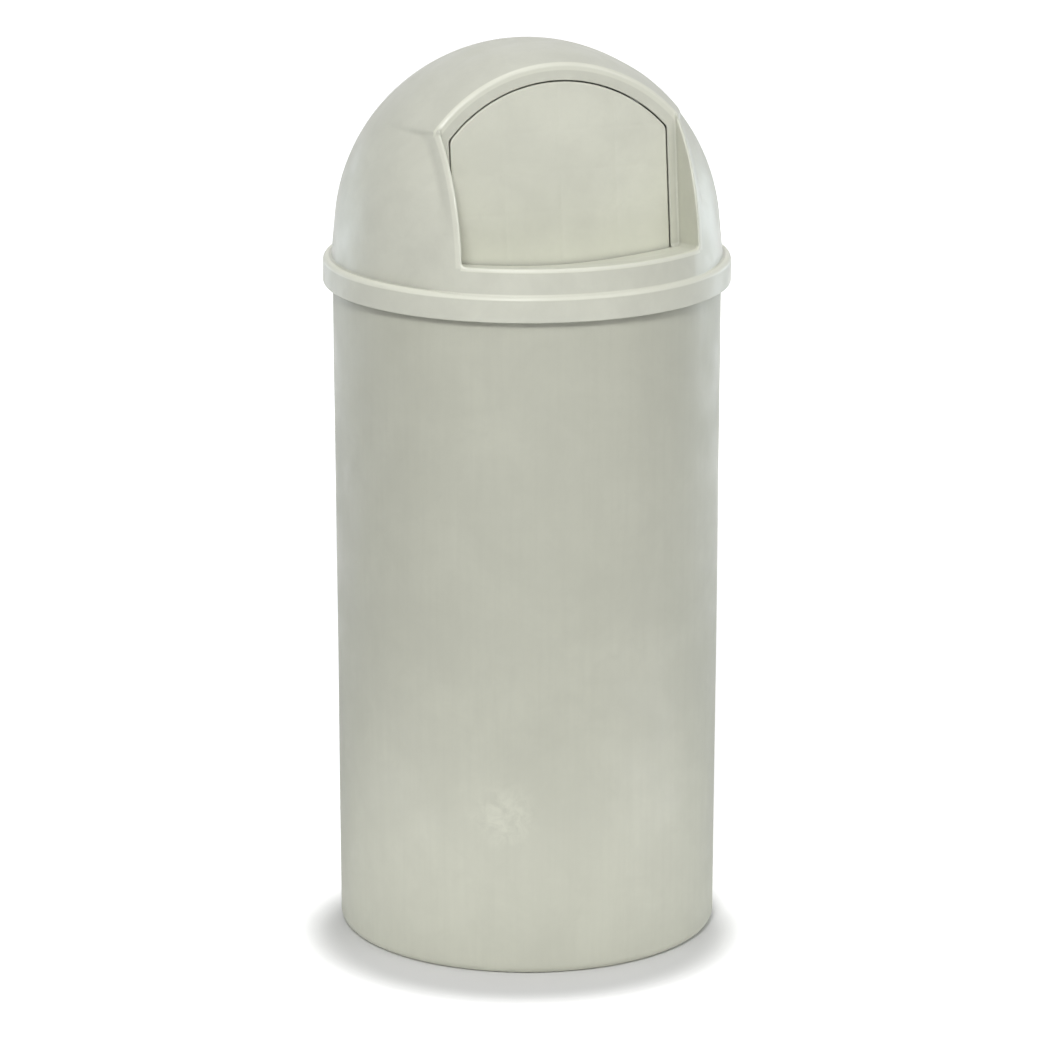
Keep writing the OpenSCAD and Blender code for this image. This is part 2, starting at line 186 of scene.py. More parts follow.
@dataclass(frozen=True)
class Skin:
    """A closed skin round a shape that is given as a distance field.

    The skin is netted on a fine grid, settled onto the shape, and then thinned where it is plain.
    """

    shape: Field
    low: Point
    high: Point
    cell: float
    faces: int

    def _grid(self) -> tuple[Array, Array, Array]:
        """The grid's places along each axis, in whole blocks.

        Returns:
            The places along x, y and z.
        """
        axes = []
        for low, high in zip(self.low, self.high):
            count = BLOCK * math.ceil((high - low) / self.cell / BLOCK + 0.25)
            middle = (low + high) / 2
            axes.append(middle + (np.arange(count) - (count - 1) / 2) * self.cell)
        return axes[0], axes[1], axes[2]

    def _sample(self, xs: Array, ys: Array, zs: Array) -> Array:
        """Distances on the grid, exact near the skin and only of the right sign away from it.

        Args:
            xs: The grid's places along x.
            ys: Its places along y.
            zs: Its places along z.

        Returns:
            A block of distances, one at each place.
        """
        bx, by, bz = (axis.reshape(-1, BLOCK).mean(1) for axis in (xs, ys, zs))
        gx, gy, gz = np.meshgrid(bx, by, bz, indexing="ij")
        rough = self.shape(gx.ravel(), gy.ravel(), gz.ravel()).reshape(gx.shape)
        reach = 1.5 * BLOCK / 2 * self.cell * math.sqrt(3)
        blocks = (len(bx), BLOCK, len(by), BLOCK, len(bz), BLOCK)
        values = np.broadcast_to(
            np.sign(rough)[:, None, :, None, :, None].astype(np.float32), blocks
        ).copy()
        near = np.argwhere(np.abs(rough) < reach)
        step = np.arange(BLOCK)
        for start in range(0, len(near), BATCH):
            part = near[start : start + BATCH]
            ix = (part[:, 0, None] * BLOCK + step)[:, :, None, None]
            iy = (part[:, 1, None] * BLOCK + step)[:, None, :, None]
            iz = (part[:, 2, None] * BLOCK + step)[:, None, None, :]
            px, py, pz = np.broadcast_arrays(xs[ix], ys[iy], zs[iz])
            fine = self.shape(px.ravel(), py.ravel(), pz.ravel()).reshape(px.shape)
            values[part[:, 0], :, part[:, 1], :, part[:, 2], :] = fine
        return values.reshape(len(xs), len(ys), len(zs))

    def _net(self, values: Array, axes: tuple[Array, Array, Array]) -> tuple[Array, Array]:
        """Points in the cells that the skin crosses, and the quads that join them.

        Args:
            values: Distances on the grid.
            axes: The grid's places along each axis.

        Returns:
            The points, and the numbers of the four points of each quad.
        """
        inside = values < 0
        shape = values.shape
        points, cells, flips = [], [], []
        for axis in range(3):
            ahead = [slice(None)] * 3
            here = [slice(None)] * 3
            ahead[axis], here[axis] = slice(1, None), slice(None, -1)
            at = np.argwhere(inside[tuple(here)] != inside[tuple(ahead)])
            step = np.zeros(3, int)
            step[axis] = 1
            first = values[tuple(at.T)]
            second = values[tuple((at + step).T)]
            share = (first / (first - second)).astype(float)
            place = np.stack([axes[k][at[:, k]] for k in range(3)], 1)
            place[:, axis] += share * self.cell
            u, v = (axis + 1) % 3, (axis + 2) % 3
            corners = []
            for du, dv in ((-1, -1), (0, -1), (0, 0), (-1, 0)):
                cell = at.copy()
                cell[:, u] += du
                cell[:, v] += dv
                corners.append(np.ravel_multi_index(tuple(cell.T), shape))
            points.append(place)
            cells.append(np.stack(corners, 1))
            flips.append(first > 0)
        place, cell, flip = np.concatenate(points), np.concatenate(cells), np.concatenate(flips)
        _, index = np.unique(cell, return_inverse=True)
        index = index.reshape(cell.shape)
        count = np.bincount(index.ravel())
        net = np.stack(
            [np.bincount(index.ravel(), np.repeat(place[:, k], 4)) / count for k in range(3)], 1
        )
        quads = np.where(flip[:, None], index[:, ::-1], index)
        return net, quads

    def slope(self, points: Array) -> tuple[Array, Array]:
        """Distance and outward direction of the shape at points.

        Args:
            points: Places, one row each.

        Returns:
            The distances, and the gradient at each place.
        """
        reach = self.cell * 0.15
        grade = np.zeros_like(points)
        total = np.zeros(len(points))
        for corner in ((1, -1, -1), (-1, -1, 1), (-1, 1, -1), (1, 1, 1)):
            way = np.array(corner, float)
            x, y, z = (points + reach * way).T
            value = self.shape(x, y, z)
            grade += value[:, None] * way
            total += value
        return total / 4, grade / (4 * reach)

    def settle(self, points: Array, rounds: int) -> Array:
        """Points moved onto the skin by a few short steps.

        Args:
            points: Places near the skin, one row each.
            rounds: How many steps they take.

        Returns:
            The moved points.
        """
        for _ in range(rounds):
            value, grade = self.slope(points)
            size = np.maximum((grade**2).sum(1), 0.25)
            move = grade * (value / size)[:, None]
            length = np.linalg.norm(move, axis=1)[:, None]
            points = points - move * np.minimum(1, self.cell / np.maximum(length, 1e-9))
        return points

    def _ways(self, points: Array) -> Array:
        """The skin's outward directions at points, each of length 1."""
        grade = self.slope(points)[1]
        return grade / np.maximum(np.linalg.norm(grade, axis=1), 1e-9)[:, None]

    def _thin(self, obj: bpy.types.Object, share: float) -> Array:
        """Thins the mesh where it is plain and gives its new points.

        Args:
            obj: The object to thin.
            share: The share of its faces that stays.

        Returns:
            The points of the thinned mesh.
        """
        modifier = obj.modifiers.new("thin", "DECIMATE")
        modifier.ratio = share
        bake_modifiers(obj)
        kept = np.empty(len(obj.data.vertices) * 3)
        obj.data.vertices.foreach_get("co", kept)
        return kept.reshape(-1, 3)

    def build(self, name: str) -> bpy.types.Object:
        """Makes the skin as a mesh object.

        Args:
            name: The piece's name.

        Returns:
            The new object, smooth shaded by the shape's own slopes.
        """
        axes = self._grid()
        points, quads = self._net(self._sample(*axes), axes)
        points = self.settle(points, 2)
        obj = new_piece(name, points, quads)
        if 2 * len(quads) > self.faces:
            points = self._thin(obj, self.faces / (2 * len(quads)))
        ways = self._ways(points)
        obj.data.update()
        obj.data.normals_split_custom_set_from_vertices(ways.tolist())
        return obj


# ---------------------------------------------------------------- meshes


def new_piece(name: str, points: Array, faces: Array | Sequence[Sequence[int]]) -> bpy.types.Object:
    """Makes a smooth shaded mesh object.

    Args:
        name: The piece's name.
        points: Vertex places, one row each.
        faces: Vertex numbers of each face.

    Returns:
        The object, linked to the scene.
    """
    mesh = bpy.data.meshes.new(name)
    mesh.from_pydata(points.tolist(), [], faces.tolist() if isinstance(faces, Array) else faces)
    mesh.polygons.foreach_set("use_smooth", np.ones(len(mesh.polygons), bool))
    mesh.update()
    obj = bpy.data.objects.new(name, mesh)
    bpy.context.scene.collection.objects.link(obj)
    return obj


def bake_modifiers(obj: bpy.types.Object) -> None:
    """Replaces the object's mesh by the one its modifiers make.

    Args:
        obj: The object, whose modifiers are used up.
    """
    graph = bpy.context.evaluated_depsgraph_get()
    made = bpy.data.meshes.new_from_object(obj.evaluated_get(graph))
    old, name = obj.data, obj.data.name
    obj.modifiers.clear()
    obj.data = made
    bpy.data.meshes.remove(old)
    made.name = name


def rounded(corners: Sequence[Point], steps: int = 6) -> list[Pair]:
    """A closed outline whose corners are rounded.

    Args:
        corners: Radius from the axis, height and corner radius of each corner, in order.
        steps: Segments in each rounded corner.

    Returns:
        The outline's points.
    """
    line: list[Pair] = []
    count = len(corners)
    for i, (r, z, radius) in enumerate(corners):
        here = Vector((r, z))
        back = Vector(corners[i - 1][:2]) - here
        ahead = Vector(corners[(i + 1) % count][:2]) - here
        if radius <= 0:
            line.append((r, z))
            continue
        half = back.angle(ahead) / 2
        run = min(radius / math.tan(half), 0.49 * back.length, 0.49 * ahead.length)
        size = run * math.tan(half)
        inwards = (back.normalized() + ahead.normalized()).normalized()
        middle = here + inwards * (size / math.sin(half))
        first = here + back.normalized() * run - middle
        last = here + ahead.normalized() * run - middle
        turn = first.angle_signed(last)
        for k in range(steps + 1):
            part = first.copy()
            part.rotate(Matrix.Rotation(-turn * k / steps, 2))
            line.append(tuple(middle + part))
    return line


def turned(
    name: str,
    outline: Sequence[Pair],
    around: int,
    place: Matrix | None = None,
    wander: Field | None = None,
) -> bpy.types.Object:
    """Turns a closed outline about the z axis.

    Args:
        name: The piece's name.
        outline: Points of the section as radius and height; a radius of 0 closes on the axis.
        around: Steps round the axis.
        place: Where the turned piece goes.
        wander: Change of radius from radius, height and angle, for a piece that is not quite true.

    Returns:
        The turned object.
    """
    angles = np.arange(around) * 2 * math.pi / around
    points: list[Array] = []
    rings: list[list[int]] = []
    total = 0
    for r, z in outline:
        if r < 1e-7:
            points.append(np.array([[0.0, 0.0, z]]))
            rings.append([total] * around)
            total += 1
            continue
        radii = np.full(around, r)
        if wander is not None:
            radii = radii + wander(radii, np.full(around, z), angles)
        ring = [radii * np.cos(angles), radii * np.sin(angles), np.full(around, z)]
        points.append(np.stack(ring, 1))
        rings.append(list(range(total, total + around)))
        total += around
    faces: list[list[int]] = []
    for i in range(len(rings)):
        low, high = rings[i], rings[(i + 1) % len(rings)]
        if low[0] == low[-1] and high[0] == high[-1]:
            continue
        for k in range(around):
            n = (k + 1) % around
            face = [low[k], low[n], high[n], high[k]]
            faces.append(list(dict.fromkeys(face)))
    obj = new_piece(name, np.concatenate(points), faces)
    if place is not None:
        obj.data.transform(place)
    face_outwards(obj)
    return obj


def face_outwards(obj: bpy.types.Object) -> None:
    """Turns every face of a closed mesh outwards.

    Args:
        obj: The object with the mesh.
    """
    work = bmesh.new()
    work.from_mesh(obj.data)
    bmesh.ops.recalc_face_normals(work, faces=work.faces)
    work.to_mesh(obj.data)
    work.free()
    obj.data.update()


def wire(name: str, path: Array, radius: float, around: int = 12) -> bpy.types.Object:
    """A round wire along a path, with rounded ends.

    Args:
        name: The piece's name.
        path: Points of the wire's middle line.
        radius: The wire's radius.
        around: Steps round the wire.

    Returns:
        The wire as a mesh object.
    """
    ways = np.gradient(path, axis=0)
    ways /= np.linalg.norm(ways, axis=1)[:, None]
    across = np.cross(ways[0], (0.0, 0.0, 1.0))
    if np.linalg.norm(across) < 0.1:
        across = np.cross(ways[0], (1.0, 0.0, 0.0))
    # how far out each ring of a rounded end lies, and its size, as shares of the radius
    tip = ((1.0, 0.35), (0.8, 0.7), (0.45, 0.92))
    stations: list[tuple[Array, Array, float]] = []
    for i, way in enumerate(ways):
        across = across - way * (across @ way)
        across = across / np.linalg.norm(across)
        if i == 0:
            stations += [(path[0] - way * radius * out, across, share) for out, share in tip]
        stations.append((path[i], across, 1.0))
        if i == len(ways) - 1:
            stations += [(path[-1] + way * radius * out, across, share) for out, share in tip[::-1]]
    lead = [ways[0]] * len(tip) + list(ways) + [ways[-1]] * len(tip)
    turn = np.arange(around) * 2 * math.pi / around
    rings = []
    for (middle, side, share), way in zip(stations, lead):
        up = np.cross(way, side)
        circle = np.outer(np.cos(turn), side) + np.outer(np.sin(turn), up)
        rings.append(middle + radius * share * circle)
    points = np.concatenate(rings)
    faces: list[list[int]] = []
    for i in range(len(rings) - 1):
        for k in range(around):
            n = (k + 1) % around
            low, high = i * around, (i + 1) * around
            faces.append([low + k, low + n, high + n, high + k])
    faces.append(list(range(around))[::-1])
    faces.append([(len(rings) - 1) * around + k for k in range(around)])
    obj = new_piece(name, points, faces)
    face_outwards(obj)
    return obj


# ---------------------------------------------------------------- finishes


class Nodes:
    """A short way to lay out a material's nodes."""

    def __init__(self, name: str) -> None:
        """Starts a material with only its shader and its output.

        Args:
            name: The material's name.
        """
        self.material = bpy.data.materials.new(name)
        self.material.use_nodes = True
        self.tree = self.material.node_tree
        self.shader = self.tree.nodes["Principled BSDF"]
        self.coordinates = self.add("ShaderNodeTexCoord").outputs["Object"]

    def add(self, kind: str, **settings: object) -> bpy.types.Node:
        """Adds a node.

        Args:
            kind: The node's type.
            settings: Values for the node's own properties.

        Returns:
            The node.
        """
        node = self.tree.nodes.new(kind)
        for name, value in settings.items():
            setattr(node, name, value)
        return node

    def link(self, start: Socket, end: Socket) -> None:
        """Joins an output to an input."""
        self.tree.links.new(start, end)

    def stretched(self, scale: Point) -> Socket:
        """The coordinates, stretched by a scale along each axis.

        Args:
            scale: The scale along x, y and z.

        Returns:
            The stretched coordinates.
        """
        node = self.add("ShaderNodeMapping")
        self.link(self.coordinates, node.inputs["Vector"])
        node.inputs["Scale"].default_value = scale
        return node.outputs["Vector"]

    def noise(
        self,
        scale: float,
        detail: float = 2.0,
        roughness: float = 0.5,
        along: Socket | None = None,
        distortion: float = 0.0,
    ) -> Socket:
        """Cloudy noise from 0 to 1.

        Args:
            scale: How many clouds fit into a metre.
            detail: How many finer layers it has.
            roughness: How strong the finer layers are.
            along: Coordinates other than the object's own.
            distortion: How far the clouds are drawn out.

        Returns:
            The noise's output.
        """
        node = self.add("ShaderNodeTexNoise")
        self.link(along or self.coordinates, node.inputs["Vector"])
        node.inputs["Scale"].default_value = scale
        node.inputs["Detail"].default_value = detail
        node.inputs["Roughness"].default_value = roughness
        node.inputs["Distortion"].default_value = distortion
        return node.outputs["Fac"]

    def reach(self, middle: Point) -> Socket:
        """How far a place lies from a middle point, in the object's own coordinates.

        Args:
            middle: The middle point.

        Returns:
            The distance's output.
        """
        node = self.add("ShaderNodeVectorMath", operation="DISTANCE")
        self.link(self.coordinates, node.inputs[0])
        node.inputs[1].default_value = middle
        return node.outputs["Value"]

    def along(self, way: Point, start: float = 0.0) -> Socket:
        """How far a place lies along a direction, counted from a start.

        Args:
            way: The direction, of length 1.
            start: The distance that counts as none.

        Returns:
            The distance's output.
        """
        node = self.add("ShaderNodeVectorMath", operation="DOT_PRODUCT")
        self.link(self.coordinates, node.inputs[0])
        node.inputs[1].default_value = way
        return self.maths("SUBTRACT", node.outputs["Value"], start)

    def length(self, first: Socket, second: Socket) -> Socket:
        """The length of the diagonal of two distances.

        Args:
            first: The first distance.
            second: The second, square to it.

        Returns:
            The length's output.
        """
        node = self.add("ShaderNodeCombineXYZ")
        self.link(first, node.inputs[0])
        self.link(second, node.inputs[1])
        size = self.add("ShaderNodeVectorMath", operation="LENGTH")
        self.link(node.outputs[0], size.inputs[0])
        return size.outputs["Value"]

    def window(self, value: Socket, low: float, high: float, soft: float) -> Socket:
        """A share of 1 where a value lies between two limits.

        Args:
            value: The value to look at.
            low: The lower limit.
            high: The upper limit.
            soft: How far outside the limits the share takes to fade out.

        Returns:
            The share's output.
        """
        rise = self.remap(value, (low - soft, low), (0, 1))
        fall = self.remap(value, (high, high + soft), (1, 0))
        return self.maths("MINIMUM", rise, fall)

    def all_of(self, *shares: Socket) -> Socket:
        """The least of some shares."""
        return reduce(lambda least, share: self.maths("MINIMUM", least, share), shares)

    def any_of(self, *shares: Socket) -> Socket:
        """The greatest of some shares."""
        return reduce(lambda most, share: self.maths("MAXIMUM", most, share), shares)

    def open_share(self, reach: float) -> Socket:
        """How open the room round a place is, from 0 to 1.

        Args:
            reach: How far to look.

        Returns:
            The share's output.
        """
        node = self.add("ShaderNodeAmbientOcclusion", samples=6)
        node.inputs["Distance"].default_value = reach
        return node.outputs["AO"]

    def remap(
        self,
        value: Socket,
        start: Pair,
        end: Pair,
        kind: str = "LINEAR",
    ) -> Socket:
        """Maps a value from one range to another, clamped.

        Args:
            value: The value to map.
            start: The range it comes from.
            end: The range it goes to.
            kind: The way between the ends.

        Returns:
            The mapped value.
        """
        node = self.add("ShaderNodeMapRange", interpolation_type=kind)
        self.link(value, node.inputs["Value"])
        for name, number in zip(("From Min", "From Max", "To Min", "To Max"), (*start, *end)):
            node.inputs[name].default_value = number
        return node.outputs["Result"]

    def maths(self, work: str, first: Socket, second: Socket | float) -> Socket:
        """Works two values together.

        Args:
            work: The operation.
            first: The first value.
            second: The second value, an output or a number.

        Returns:
            The result.
        """
        node = self.add("ShaderNodeMath", operation=work)
        self.link(first, node.inputs[0])
        if isinstance(second, Socket):
            self.link(second, node.inputs[1])
        else:
            node.inputs[1].default_value = second
        return node.outputs[0]

    def blend(
        self,
        share: Socket,
        first: Socket | Sequence[float],
        second: Socket | Sequence[float],
        kind: str = "MIX",
    ) -> Socket:
        """Two colours blended by a share.

        Args:
            share: From 0, all first, to 1, all second.
            first: A colour or an output.
            second: A colour or an output.
            kind: The way of blending.

        Returns:
            The blended colour.
        """
        node = self.add("ShaderNodeMix", data_type="RGBA", blend_type=kind)
        self.link(share, node.inputs[0])
        for socket, colour in ((node.inputs[6], first), (node.inputs[7], second)):
            if isinstance(colour, Socket):
                self.link(colour, socket)
            else:
                socket.default_value = (*colour, 1.0)
        return node.outputs[2]

    def stain(
        self,
        under: Socket | Sequence[float],
        value: Socket,
        spread: Pair,
        share: float,
        colour: Sequence[float],
    ) -> Socket:
        """Lays a colour over another where a value rises through a spread.

        Args:
            under: The colour below.
            value: What decides where the stain lies.
            spread: The values at which the stain starts and is full.
            share: How strong it is where it is full.
            colour: The stain's colour.

        Returns:
            The stained colour.
        """
        return self.blend(self.remap(value, spread, (0, share)), under, colour)

    def bumps(self, *layers: tuple[Socket, float]) -> None:
        """Bumps the surface by layers, each a height from 0 to 1 and a depth in metres.

        Args:
            layers: Each layer's height and depth, the lowest first.
        """
        below = None
        for value, depth in layers:
            node = self.add("ShaderNodeBump")
            node.inputs["Strength"].default_value = 1.0
            node.inputs["Distance"].default_value = depth
            self.link(value, node.inputs["Height"])
            if below is not None:
                self.link(below, node.inputs["Normal"])
            below = node.outputs["Normal"]
        self.link(below, self.shader.inputs["Normal"])

    def colour(self, value: Socket) -> None:
        """Sets the shader's colour."""
        self.link(value, self.shader.inputs["Base Color"])

    def roughness(self, value: Socket) -> None:
        """Sets the shader's roughness."""
        self.link(value, self.shader.inputs["Roughness"])


def linear(red: int, green: int, blue: int) -> Point:
    """A screen colour as linear light.

    Args:
        red: Red, from 0 to 255.
        green: Green.
        blue: Blue.

    Returns:
        The colour's three parts, from 0 to 1.
    """
    return tuple(
        c / 12.92 if c <= 0.04045 else ((c + 0.055) / 1.055) ** 2.4
        for c in (red / 255, green / 255, blue / 255)
    )


def scaled(colour: Point, by: float) -> Point:
    """A colour made lighter or darker."""
    return tuple(min(1.0, c * by) for c in colour)


@dataclass(frozen=True)
class SatinPlastic:
    """Moulded polyethylene with a satin skin, faint clouds, edges lightened as wear and painted
    highlight, and painted shade in its corners.
    """

    name: str
    tone: Point
    gloss: float
    clouds: float
    streaks: float = 0.0
    # The fields below set a painted highlight patch, the reach and tone of painted shade in hollows,
    # and the tone of edges lightened as wear and painted highlight.
    glint_spot: Point | None = None
    glint_reach: Pair = (0.010, 0.052)
    shade_reach: float = 0.012
    shade_from: Pair = (0.02, 0.06)
    highlit_and_worn: float = 1.24
    shaded_tone: float = 0.55
    glint_tone: float = 1.12

    def _mottled(self, n: Nodes, swirl: Socket) -> Socket:
        """The plastic's own colour, with its clouds, flecks and flow lines.

        Args:
            n: The material's nodes.
            swirl: Noise for the finer clouds.

        Returns:
            The colour.
        """
        tone = self.tone
        cloud = n.noise(self.clouds, 5, 0.62, distortion=0.4)
        fleck = n.noise(420, 3, 0.6)
        shade = n.stain(scaled(tone, 0.955), cloud, (0.35, 0.68), 1, scaled(tone, 1.03))
        shade = n.stain(shade, swirl, (0.50, 0.75), 0.5, scaled(tone, 0.94))
        shade = n.stain(shade, fleck, (0.52, 0.80), 0.3, scaled(tone, 0.95))
        if self.streaks > 0:
            lines = n.noise(1.0, 4, 0.55, along=n.stretched((130, 130, 7.0)))
            shade = n.stain(shade, lines, (0.42, 0.66), self.streaks, scaled(tone, 0.90))
        return shade

    def _worn_and_highlit_edges(self, n: Nodes) -> Socket:
        """The share of wear and painted highlight on every sharp edge of the mesh."""
        edge = n.add("ShaderNodeNewGeometry").outputs["Pointiness"]
        return n.remap(edge, (0.51, 0.57), (0, 1))

    def _used(self, n: Nodes, shade: Socket, highlit_and_worn: Socket) -> Socket:
        """The colour with edges lightened as wear and painted highlight, painted shade in hollows
        above the foot and a painted highlight patch, if there is one.

        Args:
            n: The material's nodes.
            shade: The plastic's own colour.
            highlit_and_worn: The share of wear and painted highlight.

        Returns:
            The colour.
        """
        # Edges lightened, as wear and painted highlight.
        shade = n.blend(highlit_and_worn, shade, scaled(self.tone, self.highlit_and_worn))
        # Painted shade: darker where the room round a place is closed in, in creases, gaps and under
        # the ring, kept off the foot.
        hollow_shade = n.remap(n.open_share(self.shade_reach), (0.30, 0.85), (0.8, 0))
        above = n.remap(n.along((0, 0, 1)), self.shade_from, (0, 1))
        shade = n.blend(n.maths("MULTIPLY", hollow_shade, above), shade, scaled(self.tone, self.shaded_tone))
        # Painted highlight: a paler mottled patch round a spot.
        if self.glint_spot is not None:
            near = n.remap(n.reach(self.glint_spot), self.glint_reach, (1, 0), "SMOOTHSTEP")
            glint_mottle = n.remap(n.noise(60, 5, 0.7, distortion=0.8), (0.40, 0.62), (0, 1))
            glint = n.maths("MULTIPLY", near, glint_mottle)
            shade = n.blend(glint, shade, scaled(self.tone, self.glint_tone))
        return shade

    def material(self, painted_edges: Callable[[Nodes], Socket] | None = None) -> bpy.types.Material:
        """Makes the material.

        Args:
            painted_edges: Lays out the share of painted highlight along the piece's own edges. Without
                it every sharp edge
            is lightened, as wear and painted highlight.

        Returns:
            The new material.
        """
        n = Nodes(self.name)
        swirl = n.noise(self.clouds * 3.4, 3, 0.55, distortion=0.4)
        grain = n.noise(1500, 2, 0.5)
        highlight_and_wear = painted_edges(n) if painted_edges else self._worn_and_highlit_edges(n)
        highlit_and_worn = n.maths("MULTIPLY", highlight_and_wear, n.remap(grain, (0.2, 0.8), (0.75, 0.95)))
        n.colour(self._used(n, self._mottled(n, swirl), highlit_and_worn))
        patch = n.noise(self.clouds * 1.7, 3, 0.5, distortion=0.3)
        gloss = n.remap(patch, (0.28, 0.74), (self.gloss + 0.09, self.gloss - 0.06), "SMOOTHSTEP")
        n.roughness(n.maths("ADD", gloss, n.remap(grain, (0.3, 0.7), (0, 0.05))))
        n.bumps(
            (n.noise(self.clouds * 1.3, 3, 0.5), 0.0010),
            (swirl, 0.00020),
            (n.noise(110, 4, 0.6), 0.00012),
            (grain, 0.000035),
        )
        n.shader.inputs["IOR"].default_value = 1.5
        return n.material


@dataclass(frozen=True)
class Steel:
    """Bright steel, drawn, rolled or zinc plated."""

    name: str
    tone: Point
    rough: float
    drawn: Point = (1.0, 1.0, 1.0)
    spangle: float = 0.0

    def material(self) -> bpy.types.Material:
        """Makes the material.

        Returns:
            The new material.
        """
        n = Nodes(self.name)
        tone, rough = self.tone, self.rough
        lines = n.noise(1.0, 4, 0.6, along=n.stretched(tuple(s * 900 for s in self.drawn)))
        cloud = n.noise(160, 4, 0.6)
        shade = n.stain(scaled(tone, 0.88), lines, (0.35, 0.65), 1, scaled(tone, 1.06))
        shade = n.stain(shade, cloud, (0.45, 0.75), 0.5, scaled(tone, 0.78))
        if self.spangle > 0:
            flake = n.add("ShaderNodeTexVoronoi")
            n.link(n.coordinates, flake.inputs["Vector"])
            flake.inputs["Scale"].default_value = 380
            flakes = flake.outputs["Color"]
            shade = n.stain(shade, flakes, (0.2, 0.8), self.spangle, scaled(tone, 1.15))
        n.colour(shade)
        dull = n.maths("ADD", lines, cloud)
        n.roughness(n.remap(dull, (0.7, 1.3), (rough - 0.07, rough + 0.12)))
        n.bumps((lines, 0.00002), (cloud, 0.00003))
        n.shader.inputs["Metallic"].default_value = 1.0
        return n.material


@dataclass(frozen=True)
class Nylon:
    """Natural nylon, cut and slightly waxy."""

    name: str
    tone: Point

    def material(self) -> bpy.types.Material:
        """Makes the material.

        Returns:
            The new material.
        """
        n = Nodes(self.name)
        cloud = n.noise(240, 3, 0.55)
        grain = n.noise(3200, 2, 0.5)
        dark, light = scaled(self.tone, 0.94), scaled(self.tone, 1.04)
        n.colour(n.stain(dark, cloud, (0.35, 0.7), 1, light))
        n.roughness(n.remap(cloud, (0.3, 0.7), (0.34, 0.48)))
        n.bumps((cloud, 0.00004), (grain, 0.00001))
        return n.material


@dataclass(frozen=True)
class Rubber:
    """Soft rubber with a dusty bloom."""

    name: str
    tone: Point

    def material(self) -> bpy.types.Material:
        """Makes the material.

        Returns:
            The new material.
        """
        n = Nodes(self.name)
        bloom = n.noise(300, 5, 0.65)
        grain = n.noise(2600, 2, 0.6)
        dusty = tuple(c + 0.03 for c in self.tone)
        n.colour(n.stain(self.tone, bloom, (0.4, 0.75), 1, dusty))
        n.roughness(n.remap(grain, (0.3, 0.7), (0.62, 0.8)))
        n.bumps((bloom, 0.00005), (grain, 0.00003))
        return n.material


@dataclass(frozen=True)
class Elastic:
    """A woven elastic cord."""

    name: str
    tone: Point

    def material(self) -> bpy.types.Material:
        """Makes the material.

        Returns:
            The new material.
        """
        n = Nodes(self.name)
        weave = n.add("ShaderNodeTexWave", wave_type="BANDS", bands_direction="DIAGONAL")
        n.link(n.coordinates, weave.inputs["Vector"])
        weave.inputs["Scale"].default_value = 380
        weave.inputs["Distortion"].default_value = 2.5
        fuzz = n.noise(2400, 3, 0.6)
        thread = weave.outputs["Fac"]
        shade = n.blend(thread, scaled(self.tone, 0.72), scaled(self.tone, 1.08))
        shade = n.stain(shade, fuzz, (0.4, 0.7), 0.4, scaled(self.tone, 0.85))
        n.colour(shade)
        n.roughness(n.remap(fuzz, (0.3, 0.7), (0.75, 0.92)))
        n.bumps((thread, 0.0002), (fuzz, 0.00004))
        n.shader.inputs["Sheen Weight"].default_value = 0.3
        return n.material


def dress(
    obj: bpy.types.Object, finish: bpy.types.Material, body: Body, slot: str, *nodes: str
) -> bpy.types.Object:
    """Gives a piece its finish and its place in the frame.

    Args:
        obj: The piece, in place.
        finish: Its material.
        body: The body that it rides on.
        slot: The record's material slot; not used.
        nodes: The frame's nodes that it stands for.

    Returns:
        The piece.
    """
    obj.data.materials.clear()
    obj.data.materials.append(finish)
    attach(obj, body.value)
    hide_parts(*nodes)
    log.info("%s: %d faces, rides on %s", obj.name, len(obj.data.polygons), body.value)
    return obj


# ---------------------------------------------------------------- the body


